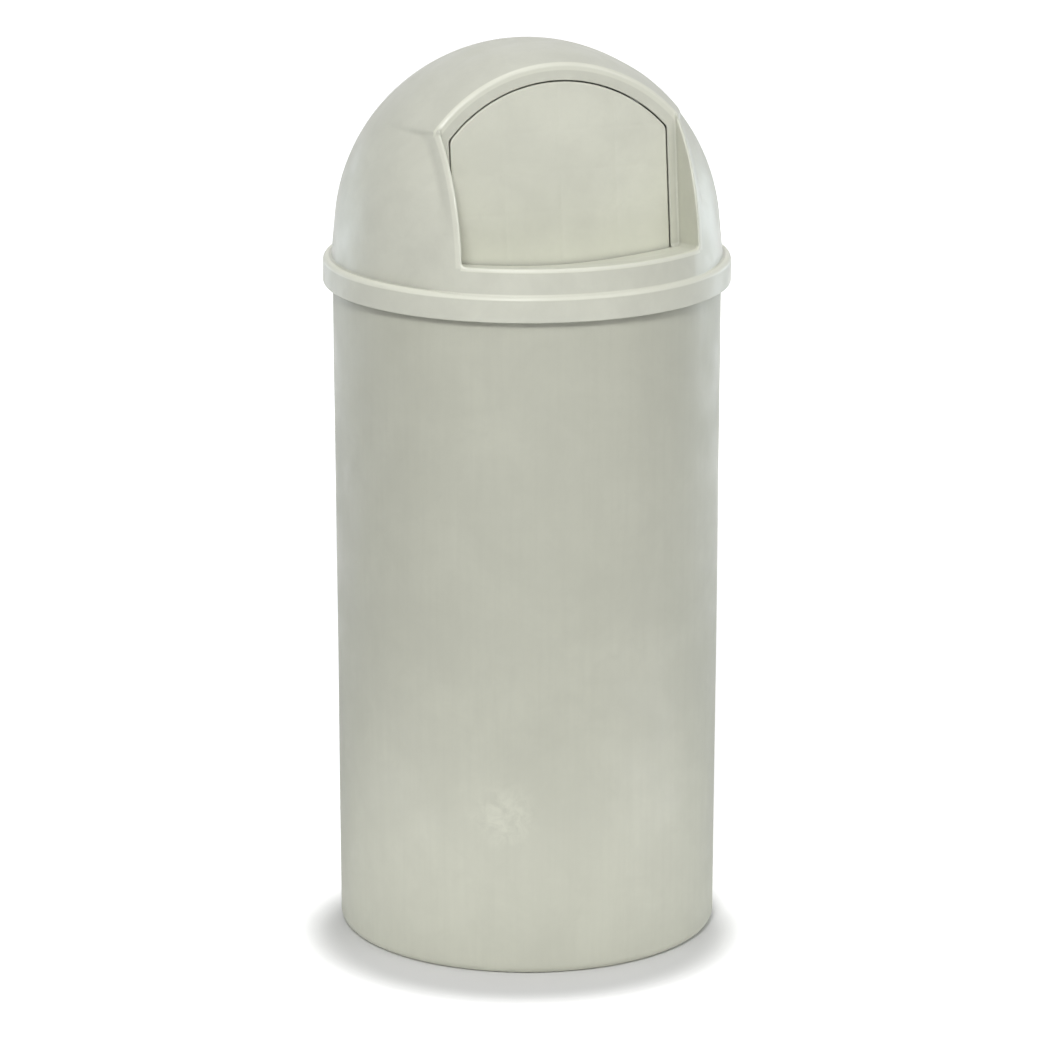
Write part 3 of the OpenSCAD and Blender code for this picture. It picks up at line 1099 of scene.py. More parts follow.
@dataclass
class WasteBody:
    """The tall drafted body with its rim bead and foot ring, and the elastic band under the bead."""

    height: float = 0.811
    top_r: float = 0.2276
    draft: float = 0.0039
    wall: float = 0.0045
    foot_corner: float = 0.012
    foot_width: float = 0.040
    floor_lift: float = 0.006
    bead_out: float = 0.003
    bead_height: float = 0.006
    bead_rounds: Point = (0.0012, 0.0014, 0.0022)
    rim_round: float = 0.0016
    foot_rounds: Pair = (0.004, 0.003)
    floor_round: float = 0.006
    stray: float = 0.00016
    band: float = 0.0034
    band_seat: float = 0.0001
    plait: float = 0.00006
    around: int = 360
    rings: int = 110

    def _outline(self) -> list[Pair]:
        """The body's section, with the wall's own rings added so that it can wander a little.

        Returns:
            The section's points as radius and height.
        """
        foot_r = self.top_r - self.draft
        inner = self.top_r - self.wall
        foot_in = foot_r - self.foot_corner - self.foot_width
        lift, w = self.floor_lift, self.wall
        under, inner_top, outer_top = self.bead_rounds
        rise_round, foot_round = self.foot_rounds
        bead_r, bead_z = self.top_r + self.bead_out, self.height - self.bead_height
        line = rounded(
            [
                (foot_in - lift, lift, rise_round),
                (foot_in, 0.0, foot_round),
                (foot_r, 0.0, self.foot_corner),
                (self.top_r, bead_z, under),
                (bead_r, bead_z, inner_top),
                (bead_r, self.height, outer_top),
                (inner, self.height, self.rim_round),
                (foot_r - w, w, self.foot_corner - w),
                (foot_in, w, self.floor_round),
                (foot_in - lift, lift + w, self.floor_round),
            ],
            8,
        )
        line = [(0.0, lift), *line, (0.0, lift + w)]
        full: list[Pair] = []
        for (r0, z0), (r1, z1) in zip(line, line[1:] + line[:1]):
            steps = max(1, round(abs(z1 - z0) * self.rings))
            for k in range(steps):
                full.append((r0 + (r1 - r0) * k / steps, z0 + (z1 - z0) * k / steps))
        return full

    def _wander(self, r: Array, z: Array, angle: Array) -> Array:
        """How far the moulded wall strays from true, which shows only as uneven sheen.

        Args:
            r: Distances from the axis.
            z: Heights.
            angle: Angles round the axis.

        Returns:
            The change of radius.
        """
        free = smooth((z - 0.03) / 0.12) * smooth((0.79 - z) / 0.08) * smooth((r - 0.20) / 0.01)
        bend = np.sin(3 * angle + 7 * z) + 0.7 * np.sin(7 * angle - 11 * z + 1.3)
        ripple = 0.35 * np.sin(19 * angle + 23 * z) + 0.25 * np.sin(31 * angle - 5 * z + 0.4)
        return free * self.stray * (bend + ripple)

    def _weave(self, r: Array, z: Array, angle: Array) -> Array:
        """The band's plaited surface."""
        return -self.plait * (1 + np.sin(240 * angle + 1800 * z))

    def build(self) -> None:
        """Builds and dresses the body and its band."""
        body = turned("moulded_body", self._outline(), self.around, wander=self._wander)
        finish = SatinPlastic(
            "body_satin",
            linear(189, 190, 176),
            gloss=0.38,
            clouds=11.0,
            streaks=0.22,
            # A painted highlight patch low on the body's front.
            glint_spot=(-0.102, -0.2, 0.195),
        ).material()
        dress(body, finish, Body.BASE, "body_plastic", "base_body")
        r = self.band / 2
        middle_r = self.top_r + r + self.band_seat
        middle_z = self.height - self.bead_height - r - self.band_seat
        ring = [
            (middle_r + r * math.cos(a), middle_z + r * math.sin(a))
            for a in np.linspace(0, 2 * math.pi, 16, endpoint=False)
        ]
        band = turned("liner_band", ring, 2 * self.around, wander=self._weave)
        band_finish = Elastic("band_elastic", linear(214, 208, 190)).material()
        dress(band, band_finish, Body.BASE, "band_elastic", "bag_retainer_band")


# ---------------------------------------------------------------- the dome


@dataclass
class FacePlane:
    """The plane of the door's face.

    Its axes are x across, up the face from the height of the ball's middle, and outwards.
    """

    out: float = 0.121
    middle_z: float = 0.8415
    lean: float = math.radians(6.2)

    def split(self, y: Array, z: Array) -> tuple[Array, Array]:
        """Heights up the face and distances in front of it.

        Args:
            y: Places from front to back.
            z: Heights.

        Returns:
            The heights and the distances.
        """
        dy, dz = y + self.out, z - self.middle_z
        up = dy * math.sin(self.lean) + dz * math.cos(self.lean)
        front = -dy * math.cos(self.lean) + dz * math.sin(self.lean)
        return up, front

    def matrix(self) -> Matrix:
        """Carries x, up and outwards into the frame.

        Returns:
            The matrix.
        """
        return Matrix.Translation((0, -self.out, self.middle_z)) @ Matrix.Rotation(
            math.pi / 2 - self.lean, 4, "X"
        )

    def point(self, x: float, up: float, front: float) -> Point:
        """A place on or off the face in the frame."""
        return tuple(self.matrix() @ Vector((x, up, front)))


@dataclass
class FaceFit:
    """Sizes and places that the dome, the door and the hinge share, on the axes of the door's face."""

    face: FacePlane = field(default_factory=FacePlane)
    wall: float = 0.004
    stop_gap: float = 0.0015
    hinge_up: float = 0.168
    hinge_back: float = 0.018
    rod_r: float = 0.003
    screw_r: float = 0.00175
    boss_at: tuple[Pair, ...] = ((0.106, 0.171926), (0.122, 0.159404))
    bumper_at: Pair = (0.095, -0.024)
    stem_r: float = 0.002

    def on_hinge(self) -> Matrix:
        """Carries a piece's own axes to the middle of the hinge line."""
        return self.face.matrix() @ Matrix.Translation((0, self.hinge_up, -self.hinge_back))


@dataclass(frozen=True)
class DomeHighlights:
    """Where the dome's edges get a painted highlight, as ranges of place in the frame or on the face.

    A range of three numbers gives its start, its end and the soft width over which it fades out
    beyond them. A range from -1 or to 1 has no end there.
    """

    ring_radius: Point = (0.2325, 1.0, 0.001)
    ring_below: float = 0.0045
    ring_above: float = 0.0005
    ring_soft: float = 0.0012
    lip_high: Point = (0.8410, 0.8475, 0.0010)
    lip_radius: Point = (0.2265, 0.24, 0.0012)
    lip_side: Point = (-1.0, 0.1450, 0.0015)
    lip_back: Point = (-1.0, -0.10, 0.01)
    ridge_side: Point = (0.1448, 0.1495, 0.0012)
    ridge_from: float = 0.8440
    ridge_soft: float = 0.002
    ridge_share: float = 0.6
    hood_front: Point = (-0.0030, -0.0004, 0.0012)
    hood_inside: float = 0.006
    hood_soft: Pair = (0.002, 0.004)


@dataclass
class Dome(FaceFit):
    """The dome with its raised door surround, sloping sill and rim ring, one moulding."""

    ball_r: float = 0.2255
    shelf_z: float = 0.815
    seam_rise: float = 0.020
    skirt_draft: float = math.radians(5.5)
    hood_r: float = 0.215684
    hood_up: float = 0.020
    hood_back: float = 0.0932176
    crease_z: float = 0.983425
    ridge_half: float = 0.1475
    ridge_crest: float = 0.1512
    ridge_foot: float = 0.1560
    ridge_spread: float = 0.014
    ridge_out: float = 0.0055
    ridge_front: float = -0.0605
    arch_r: float = 0.1945
    band_w: float = 0.0185
    open_half: float = 0.13295
    sill_z: float = 0.80427
    sill_slope: float = math.radians(10)
    flange_drop: float = 0.036
    ring_in: float = 0.235
    ring_out: float = 0.239
    ring_z: float = 0.784
    body_h: float = 0.811
    ring_round: float = 0.0063
    locator_in: float = 0.2183
    locator_out: float = 0.2223
    locator_z: float = 0.793
    locator_top: float = 0.821
    boss_r: float = 0.005
    boss_h: float = 0.005
    bore_deep: float = 0.006
    bore_spare: float = 0.004
    under_shelf: float = 0.002
    crease_round: float = 0.0042
    ridge_round: float = 0.0040
    hood_fillet: float = 0.0005
    hood_fillet_top: float = 0.0050
    ridge_fillet: float = 0.0018
    ridge_fillet_low: float = 0.008
    core_fillet: float = 0.0010
    hollow_round: float = 0.0016
    small_round: float = 0.0012
    bore_round: float = 0.0003
    seam_blend: float = 0.012
    ridge_low: Pair = (0.912, 0.055)
    hood_top: Pair = (1.050, 0.03)
    lip_top: Pair = (0.866, 0.018)
    arch_inset: float = 0.00055
    highlight_and_wear: DomeHighlights = field(default_factory=DomeHighlights)
    pocket_round: float = 0.0022
    lip_round: float = 0.0034
    cell: float = 0.0012
    quick_cell: float = 0.0024
    faces: int = 190_000

    def __post_init__(self) -> None:
        """Works out the middle of the hood's ball."""
        self.hood_middle = Vector(self.face.point(0, self.hood_up, -self.hood_back))

    def _ball(self, r: Array, z: Array, out: float) -> Array:
        """Distances to the ball over its drafted wall.

        Args:
            r: Distances from the axis.
            z: Heights.
            out: How much the ball and the wall are grown.

        Returns:
            The distances, with the two blended softly where they join.
        """
        size = self.ball_r + out
        seam_z = self.face.middle_z + self.seam_rise
        seam_r = math.sqrt(size**2 - self.seam_rise**2)
        ball = np.hypot(r, z - self.face.middle_z) - size
        wall = (r - seam_r - (seam_z - z) * math.tan(self.skirt_draft)) * math.cos(self.skirt_draft)
        share = smooth((z - seam_z) / self.seam_blend + 0.5)
        return wall + (ball - wall) * share

    def _outside(self, x: Array, y: Array, z: Array, r: Array) -> tuple[Array, Array]:
        """Distances to the ball, hood and ridges before the recess is cut, in two versions.

        Args:
            x: Places across.
            y: Places from front to back.
            z: Heights.
            r: Distances from the axis.

        Returns:
            The outside with its wide fillets, and the core with tight ones, for the hollow.
        """
        floor = self.shelf_z - self.under_shelf - z
        ball = np.maximum(self._ball(r, z, 0.0), floor)
        cx, cy, cz = self.hood_middle
        hood = np.sqrt((x - cx) ** 2 + (y - cy) ** 2 + (z - cz) ** 2) - self.hood_r
        hood = meet(hood, self.crease_z - z, self.crease_round)
        # the ridges slope away on their outer side and run out into the wall towards the ring
        low = self._below(z, self.ridge_low)
        foot = self.ridge_foot + self.ridge_spread * low
        run = foot - self.ridge_crest
        slope = (np.abs(x) - foot) * self.ridge_out + self._ball(r, z, 0.0) * run
        slope = slope / np.hypot(self.ridge_out, run)
        ridge = meet(self._ball(r, z, self.ridge_out), slope, self.ridge_round)
        ridge = np.maximum(ridge, y - self.ridge_front)
        ridge = np.maximum(ridge, z - self.crease_z - 0.002)
        ridge = np.maximum(ridge, floor)
        top = self._below(z, self.hood_top)
        hooded = join(ball, hood, self.hood_fillet + self.hood_fillet_top * top)
        wide = join(hooded, ridge, self.ridge_fillet + self.ridge_fillet_low * low)
        tight = join(join(ball, hood, self.hood_fillet), ridge, self.core_fillet)
        return wide, tight

    @staticmethod
    def _below(z: Array, fade: Pair) -> Array:
        """A share that rises from 0 at a fade's height to 1 once z is the fade's depth below it."""
        return smooth((fade[0] - z) / fade[1])

    def _over_sill(self, r: Array, z: Array) -> Array:
        """Negative over the sill's sloping cone."""
        return (self.sill_z + r * math.tan(self.sill_slope) - z) * math.cos(self.sill_slope)

    def _ring(self, r: Array, z: Array) -> Array:
        """The ring over the rim, the shelf on the rim and the lip that centres the dome.

        Args:
            r: Distances from the axis.
            z: Heights.

        Returns:
            Distances to them, negative inside.
        """
        block = meet(r - self.ring_out, z - self.shelf_z, self.ring_round)
        block = meet(block, self.ring_z - z, 0.0013)
        block = meet(block, self.locator_in - r, 0.0008)
        hollow = meet(r - self.ring_in, z - self.body_h, 0.0015)
        block = cut(block, hollow, self.small_round)
        lip = between(r, self.locator_in, self.locator_out)
        lip = meet(lip, self.locator_z - z, self.small_round)
        lip = np.maximum(lip, z - self.locator_top)
        shelf = between(z, self.body_h, self.locator_top)
        root = np.maximum(between(r, self.locator_in, self.ball_r + 0.001), shelf)
        return join(join(block, lip, 0.001), root, 0.0005)

    def shape(self, x: Array, y: Array, z: Array) -> Array:
        """Distances to the whole moulding.

        Args:
            x: Places across.
            y: Places from front to back.
            z: Heights.

        Returns:
            The distances, negative inside the plastic.
        """
        r = np.hypot(x, y)
        side = np.abs(x)
        up, front = self.face.split(y, z)
        outside, core = self._outside(x, y, z, r)
        sill = self._over_sill(r, z)
        # the hollow inside, kept off the walls round the recess
        inside = side - self.ridge_half
        plates = np.maximum(np.maximum(sill - self.wall, inside), -self.wall - front)
        posts = np.maximum(between(front, -self.wall, self.stop_gap + self.wall), inside)
        posts = np.maximum(posts, -self.flange_drop - up)
        hollow = cut(core + self.wall, np.minimum(plates, posts), self.hollow_round)
        shell = cut(outside, np.maximum(hollow, self.body_h - z), 0.001)
        # the recess in front of the face, over the sill
        lip_near = self._below(z, self.lip_top)
        pocket = meet(side - (self.ridge_half - self.wall), -front, self.pocket_round)
        pocket = meet(pocket, sill, self.pocket_round * (1 + lip_near))
        shell = cut(shell, pocket, self.lip_round + 0.0008 * lip_near)
        # the door's opening
        arch = np.hypot(x, up - self.hood_up) - (self.arch_r - self.band_w - self.arch_inset)
        hole = meet(side - self.open_half, arch, 0.001)
        hole = np.maximum(hole, between(front, -0.02, self.stop_gap))
        shell = cut(shell, hole, 0.0013)
        shell = join(shell, self._ring(r, z), self.small_round)
        # bosses and bores behind the band and the flange
        for bx, bu in self.boss_at:
            away = np.hypot(side - bx, up - bu)
            end = self.wall + self.boss_h
            boss = meet(away - self.boss_r, between(front, -end, -0.002), 0.0004)
            shell = join(shell, boss, self.small_round)
            depth = between(front, -end - self.bore_spare, self.bore_deep - end)
            shell = cut(shell, np.maximum(away - self.screw_r, depth), self.bore_round)
        bx, bu = self.bumper_at
        away = np.hypot(side - bx, up - bu)
        bore = np.maximum(away - self.stem_r, between(front, -0.001, 0.007))
        return cut(shell, bore, self.bore_round)

    def _painted_highlights(self, n: Nodes) -> Socket:
        """Painted highlights along the edges of the ring, the lip, the ridges and the hood.

        Args:
            n: The material's nodes.

        Returns:
            The share of painted highlight.
        """
        across, back, high = n.along((1, 0, 0)), n.along((0, 1, 0)), n.along((0, 0, 1))
        both_sides = n.add("ShaderNodeMath", operation="ABSOLUTE")
        n.link(across, both_sides.inputs[0])
        side = both_sides.outputs[0]
        radius = n.length(across, back)
        sin, cos = math.sin(self.face.lean), math.cos(self.face.lean)
        up = n.along((0, sin, cos), self.face.middle_z * cos - self.face.out * sin + self.hood_up)
        front = n.along((0, -cos, sin), self.face.out * cos + self.face.middle_z * sin)
        highlight_and_wear = self.highlight_and_wear
        # Painted highlights along the ring's top edge, the lip, the ridge crests and the hood's edge.
        ring_low, ring_high = self.shelf_z - highlight_and_wear.ring_below, self.shelf_z + highlight_and_wear.ring_above
        ring = n.all_of(
            n.window(high, ring_low, ring_high, highlight_and_wear.ring_soft),
            n.window(radius, *highlight_and_wear.ring_radius),
        )
        lip = n.all_of(
            n.window(high, *highlight_and_wear.lip_high),
            n.window(radius, *highlight_and_wear.lip_radius),
            n.window(side, *highlight_and_wear.lip_side),
            n.window(back, *highlight_and_wear.lip_back),
        )
        ridge = n.all_of(
            n.window(side, *highlight_and_wear.ridge_side),
            n.window(high, highlight_and_wear.ridge_from, self.crease_z, highlight_and_wear.ridge_soft),
            n.window(back, -1.0, self.ridge_front, highlight_and_wear.ridge_soft),
        )
        hood = n.all_of(
            n.window(front, *highlight_and_wear.hood_front),
            n.window(n.length(across, up), self.arch_r - highlight_and_wear.hood_inside, 1.0, highlight_and_wear.hood_soft[0]),
            n.window(high, self.crease_z, 2.0, highlight_and_wear.hood_soft[1]),
        )
        ridge = n.remap(ridge, (0, 1), (0, highlight_and_wear.ridge_share))
        return n.any_of(ring, lip, ridge, hood)

    def build(self) -> None:
        """Builds and dresses the dome."""
        skin = Skin(
            self.shape,
            (-0.2405, -0.2405, 0.7825),
            (0.2405, 0.2405, 1.069),
            self.cell,
            self.faces,
        )
        dome = skin.build("dome_moulding")
        finish = SatinPlastic("dome_satin", linear(206, 207, 194), gloss=0.33, clouds=15.0)
        dress(dome, finish.material(self._painted_highlights), Body.DOME, "dome_plastic", "dome_shell")


# ---------------------------------------------------------------- the door


@dataclass
class PushDoor(FaceFit):
    """The flat arched door with ribs and hinge knuckles on its back, and its rod and caps."""

    half: float = 0.13155
    arch_r: float = 0.17405
    arch_up: float = 0.020
    drop: float = 0.030
    rib_depth: float = 0.008
    rib_t: float = 0.003
    rib_inset: float = 0.011
    rib_up: float = 0.138
    corner_round: float = 0.003
    edge_round: float = 0.0016
    rib_round: float = 0.0008
    sink_deep: float = 0.00026
    sink_wide: float = 0.0028
    knuckle_x: tuple[float, ...] = (-0.068, 0.0, 0.068)
    knuckle_r: float = 0.0075
    knuckle_w: float = 0.012
    rod_half: float = 0.102
    cap_from: float = 0.0993
    cap_t: float = 0.0012
    cap_r: float = 0.0055
    cap_dish: float = 0.00045
    cap_rim: float = 0.0009
    cap_teeth: int = 6
    slit_half: float = 0.00022
    slit_long: float = 0.0012
    cell: float = 0.0009
    quick_cell: float = 0.0018
    faces: int = 150_000

    def _outline(self, x: Array, up: Array, inset: float, radius: float) -> Array:
        """Distances to the arched outline, drawn in by inset, with corners of a radius.

        Args:
            x: Places across.
            up: Places up the face.
            inset: How far the outline is drawn in.
            radius: The radius of its corners.

        Returns:
            The distances, negative inside.
        """
        arch = np.hypot(x, up - self.arch_up) - (self.arch_r - inset)
        flat = meet(np.abs(x) - (self.half - inset), arch, radius)
        return meet(flat, -(self.drop - inset) - up, radius)

    def local_shape(self, x: Array, up: Array, front: Array) -> Array:
        """Distances to the door, in the face's own axes.

        Args:
            x: Places across.
            up: Places up the face.
            front: Places in front of the face.

        Returns:
            The distances, negative inside the plastic.
        """
        ribs_up = [self.rib_up / 3, self.rib_up * 2 / 3, self.rib_up]
        sink = np.zeros_like(x)
        for at in ribs_up:
            sink = np.maximum(sink, np.exp(-(((up - at) / self.sink_wide) ** 2)))
        for at in self.knuckle_x:
            sink = np.maximum(sink, np.exp(-(((x - at) / self.sink_wide) ** 2)))
        edge = self._outline(x, up, 0.0, self.corner_round)
        plate = meet(edge, front + self.sink_deep * sink, self.edge_round)
        plate = meet(plate, -self.wall - front, 0.0006)
        inner = self._outline(x, up, self.rib_inset, self.corner_round + 0.001)
        frame = np.maximum(inner, -self.rib_t - inner)
        bars = np.abs(up - ribs_up[0]) - self.rib_t / 2
        for at in ribs_up[1:]:
            bars = np.minimum(bars, np.abs(up - at) - self.rib_t / 2)
        for at in self.knuckle_x:
            post = np.maximum(np.abs(x - at) - self.rib_t / 2, up - self.hinge_up)
            bars = np.minimum(bars, post)
        bars = np.maximum(bars, inner)
        ribs = meet(np.minimum(frame, bars), -self.wall - self.rib_depth - front, self.rib_round)
        ribs = np.maximum(ribs, front + self.wall / 2)
        door = join(plate, ribs, 0.0012)
        away = np.hypot(up - self.hinge_up, front + self.hinge_back)
        depth = between(front, -self.hinge_back, -0.002)
        web = np.maximum(np.abs(up - self.hinge_up) - self.knuckle_r, depth)
        for at in self.knuckle_x:
            side = np.abs(x - at) - self.knuckle_w / 2
            eye = meet(side, away - self.knuckle_r, self.rib_round)
            door = join(door, np.minimum(eye, meet(side, web, self.rib_round)), 0.0014)
        return cut(door, away - self.rod_r, 0.0003)

    def build(self) -> None:
        """Builds and dresses the door, its rod and the rod's caps."""
        skin = Skin(
            self.local_shape,
            (-0.1325, -0.0315, -0.0265),
            (0.1325, 0.195, 0.0015),
            self.cell,
            self.faces,
        )
        door = skin.build("push_door_panel")
        carry(door, self.face.matrix())
        # The door's tone is lighter than the dome's, as painted light that makes up for the light its
        # recess keeps off it.
        finish = SatinPlastic("door_satin", linear(214, 215, 201), gloss=0.33, clouds=13.0)
        dress(door, finish.material(), Body.DOOR, "door_plastic", "push_door")
        along = self.on_hinge() @ Matrix.Rotation(math.pi / 2, 4, "Y")
        ends = [(0.0, -self.rod_half, 0), (self.rod_r, -self.rod_half, 0.0006)]
        ends += [(self.rod_r, self.rod_half, 0.0006), (0.0, self.rod_half, 0)]
        rod = turned("hinge_pin", rounded(ends), 48, along)
        steel = Steel("rod_drawn", (0.60, 0.60, 0.61), rough=0.26, drawn=(0.03, 1, 1))
        dress(rod, steel.material(), Body.DOOR, "rod_steel", "hinge_rod")
        zinc = Steel("zinc_fasteners", (0.56, 0.57, 0.60), rough=0.34, spangle=0.4).material()
        room = self.cap_r + 0.0005
        cap = Skin(self._cap_shape, (-room, -room, -0.0003), (room, room, 0.0015), 0.00016, 30_000)
        for side in Side:
            piece = cap.build(f"push_cap_{side.word}")
            spin = Matrix.Identity(4) if side is Side.RIGHT else Matrix.Rotation(math.pi, 4, "X")
            carry(piece, along @ spin @ Matrix.Translation((0, 0, self.cap_from)))
            dress(piece, zinc, Body.DOOR, "screw_steel", f"rod_cap_{side.word}")

    def _cap_shape(self, x: Array, y: Array, z: Array) -> Array:
        """A push-on cap: a dished disc whose slit teeth bite on the rod.

        Args:
            x: Places across the cap.
            y: Places across it, the other way.
            z: Places through it.

        Returns:
            Distances to the cap, negative inside.
        """
        r = np.hypot(x, y)
        dish = self.cap_dish * (1 - smooth((r - self.rod_r) / 0.002))
        disc = meet(r - self.cap_r, between(z - dish, 0.0, self.cap_t - self.cap_dish), 0.00018)
        rim = between(r, self.cap_r - self.cap_rim, self.cap_r)
        rim = meet(rim, between(z, 0.0, self.cap_t), 0.0002)
        cap = np.minimum(disc, rim)
        turn = np.arctan2(y, x)
        tooth = 2 * math.pi / self.cap_teeth
        sector = (turn + tooth / 2) % tooth - tooth / 2
        beside = np.abs(r * np.sin(sector)) - self.slit_half
        slit = np.maximum(beside, r - self.rod_r - self.slit_long)
        return cut(cut(cap, slit, 0.00008), r - self.rod_r, 0.0001)


def carry(obj: bpy.types.Object, place: Matrix) -> None:
    """Moves a mesh with its own smooth directions.

    Args:
        obj: The piece, whose mesh is in its own axes.
        place: Where it goes.
    """
    directions = [loop.vector.copy() for loop in obj.data.corner_normals]
    turn = place.to_3x3()
    obj.data.transform(place)
    obj.data.update()
    obj.data.normals_split_custom_set([turn @ d for d in directions])


# ---------------------------------------------------------------- the hinge


@dataclass
class HingeHardware(FaceFit):
    """Brackets, bushes, screws and closing springs, and the rubber bumpers on the sill's flange."""

    bracket_x: float = 0.096
    bracket_t: float = 0.0024
    bend_r: float = 0.0018
    sheet_round: float = 0.00035
    pad_back: float = 0.009
    ear_r: float = 0.0105
    neck_under: float = 0.006
    neck_over: float = 0.008
    bush_r: float = 0.005
    bush_flange_r: float = 0.0075
    bush_flange_t: float = 0.002
    bush_out: float = 0.099
    rod_clear: float = 0.00005
    foot_r: float = 0.006
    head_r: float = 0.0035
    head_h: float = 0.0024
    recess_half: float = 0.002
    recess_t: float = 0.0004
    recess_deep: float = 0.0012
    pitch: float = 0.0012
    thread_deep: float = 0.0004
    screw_deep: float = 0.0055
    wire_r: float = 0.0008
    coil_r: float = 0.0052
    coil_from: float = 0.0763
    coil_to: float = 0.0917
    coil_turns: int = 9
    leg_foot: float = 0.134
    leg_knee: Pair = (0.1722, -0.0064)
    leg_tip: Pair = (0.1828, -0.0049)
    bumper_r: float = 0.006

    def _on_side(self, side: Side) -> Matrix:
        """The face's axes, mirrored for the left side."""
        return self.face.matrix() @ Matrix.Diagonal((side.value, 1, 1, 1))

    def bracket_shape(self, x: Array, up: Array, front: Array) -> Array:
        """Distances to the right bracket, a bent plate with an ear for the bush and two screw feet.

        Args:
            x: Places across.
            up: Places up the face.
            front: Places in front of the face.

        Returns:
            The distances, negative inside the plate.
        """
        t = self.bracket_t
        (x1, u1), (x2, u2) = self.boss_at
        back, fore = -self.pad_back - t, -self.pad_back
        along = np.array((x2 - x1, u2 - u1))
        length = float(np.hypot(*along))
        share = np.clip(((x - x1) * along[0] + (up - u1) * along[1]) / length**2, 0, 1)
        foot = np.hypot(x - x1 - share * along[0], up - u1 - share * along[1]) - self.foot_r
        neck_low, neck_high = self.hinge_up - self.neck_under, self.hinge_up + self.neck_over
        neck = np.maximum(between(x, self.bracket_x, x1), between(up, neck_low, neck_high))
        foot = meet(join(foot, neck, 0.001), between(front, back, fore), self.sheet_round)
        away = np.hypot(up - self.hinge_up, front + self.hinge_back)
        ear = away - self.ear_r
        web = np.maximum(between(up, neck_low, neck_high), between(front, -self.hinge_back, fore))
        sheet = between(x, self.bracket_x, self.bracket_x + t)
        ear = meet(join(ear, web, 0.002), sheet, self.sheet_round)
        plate = join(foot, ear, 0.0008)
        bend_x, bend_front = self.bracket_x + self.bend_r, fore - self.bend_r
        corner = np.hypot(x - bend_x, front - bend_front) - self.bend_r
        nearby = np.maximum(x - bend_x, bend_front - front)
        plate = np.where(nearby < 0, np.maximum(plate, corner), plate)
        plate = cut(plate, away - self.bush_r, 0.0002)
        for bx, bu in self.boss_at:
            plate = cut(plate, np.hypot(x - bx, up - bu) - self.screw_r, 0.0002)
        return plate

    def screw_shape(self, x: Array, y: Array, z: Array) -> Array:
        """Distances to a pan head screw, with its head under z = 0 and its thread over it.

        Args:
            x: Places across the screw.
            y: Places across the screw, the other way.
            z: Places along the screw.

        Returns:
            The distances, negative inside the screw.
        """
        r = np.hypot(x, y)
        head = meet(r - self.head_r - 0.12 * z, np.maximum(-self.head_h - z, z), 0.0007)
        wing_x = np.maximum(np.abs(x) - self.recess_half, np.abs(y) - self.recess_t)
        wing_y = np.maximum(np.abs(y) - self.recess_half, np.abs(x) - self.recess_t)
        cross = np.maximum(np.minimum(wing_x, wing_y), z + self.head_h - self.recess_deep)
        head = cut(head, cross, 0.00015)
        turn = np.arctan2(y, x) / (2 * math.pi)
        wave = np.abs(((z / self.pitch - turn) % 1.0) - 0.5) * 2
        groove = self.thread_deep * (1 - wave) * smooth((z - self.bracket_t) / 0.001)
        length = self.bracket_t + self.screw_deep
        thread = meet(r - self.screw_r + groove, between(z, -0.0005, length), 0.0003)
        return np.minimum(head, thread)

    def _spring_path(self) -> Array:
        """The middle line of the right spring on the face's axes, from its foot on the door.

        Returns:
            The line's points, one row each.
        """
        r, up, back = self.coil_r, self.hinge_up, -self.hinge_back
        lower = np.linspace(self.leg_foot, up, 16)[:-1]
        points = [(self.coil_from, s, back + r) for s in lower]
        turns = self.coil_turns + 315 / 360
        for a in np.linspace(0, 1, self.coil_turns * 40):
            phi = a * turns * 2 * math.pi
            x = self.coil_from + (self.coil_to - self.coil_from) * a
            points.append((x, up + r * math.sin(phi), back + r * math.cos(phi)))
        start = Vector(points[-1])
        knee, tip = (Vector((self.coil_to, *place)) for place in (self.leg_knee, self.leg_tip))
        for t in np.linspace(0, 1, 24)[1:]:
            first, second = start.lerp(knee, t), knee.lerp(tip, t)
            points.append(tuple(first.lerp(second, smooth(np.array(t)).item())))
        return np.array(points)

    def build(self) -> None:
        """Builds and dresses the hinge pieces and the bumpers."""
        plate = Steel("bracket_zinc", (0.55, 0.56, 0.58), rough=0.36, drawn=(1, 0.2, 1), spangle=0.5)
        plate_zinc = plate.material()
        nylon = Nylon("bush_nylon", linear(226, 223, 212)).material()
        spring_steel = Steel("spring_wire", (0.42, 0.43, 0.45), rough=0.30).material()
        rubber = Rubber("bumper_rubber", (0.028, 0.028, 0.027)).material()
        for side in Side:
            self._bracket(side, plate_zinc)
            self._bush(side, nylon)
            self._spring(side, spring_steel)
            self._bumper(side, rubber)
        self._screws()

    def _mirrored(self, obj: bpy.types.Object, side: Side) -> None:
        """Carries a mesh made for the right side to its own side.

        Args:
            obj: The piece, on the face's axes.
            side: The side it belongs on.
        """
        if side is Side.RIGHT:
            carry(obj, self.face.matrix())
            return
        directions = [loop.vector.copy() for loop in obj.data.corner_normals]
        place = self._on_side(side)
        obj.data.transform(place)
        obj.data.flip_normals()
        obj.data.update()
        turned_round: list[Vector] = [Vector()] * len(directions)
        turn = place.to_3x3()
        for face in obj.data.polygons:
            start, total = face.loop_start, face.loop_total
            for k in range(total):
                source = start if k == 0 else start + total - k
                turned_round[start + k] = turn @ directions[source]
        obj.data.normals_split_custom_set(turned_round)

    def _bracket(self, side: Side, finish: bpy.types.Material) -> None:
        """Builds one bracket.

        Args:
            side: The bracket's side.
            finish: Its material.
        """
        low, high = (0.095, 0.149, -0.030), (0.130, 0.181, -0.007)
        skin = Skin(self.bracket_shape, low, high, 0.00035, 60_000)
        piece = skin.build(f"hinge_plate_{side.word}")
        self._mirrored(piece, side)
        dress(piece, finish, Body.DOME, "bracket_steel", f"hinge_bracket_{side.word}")

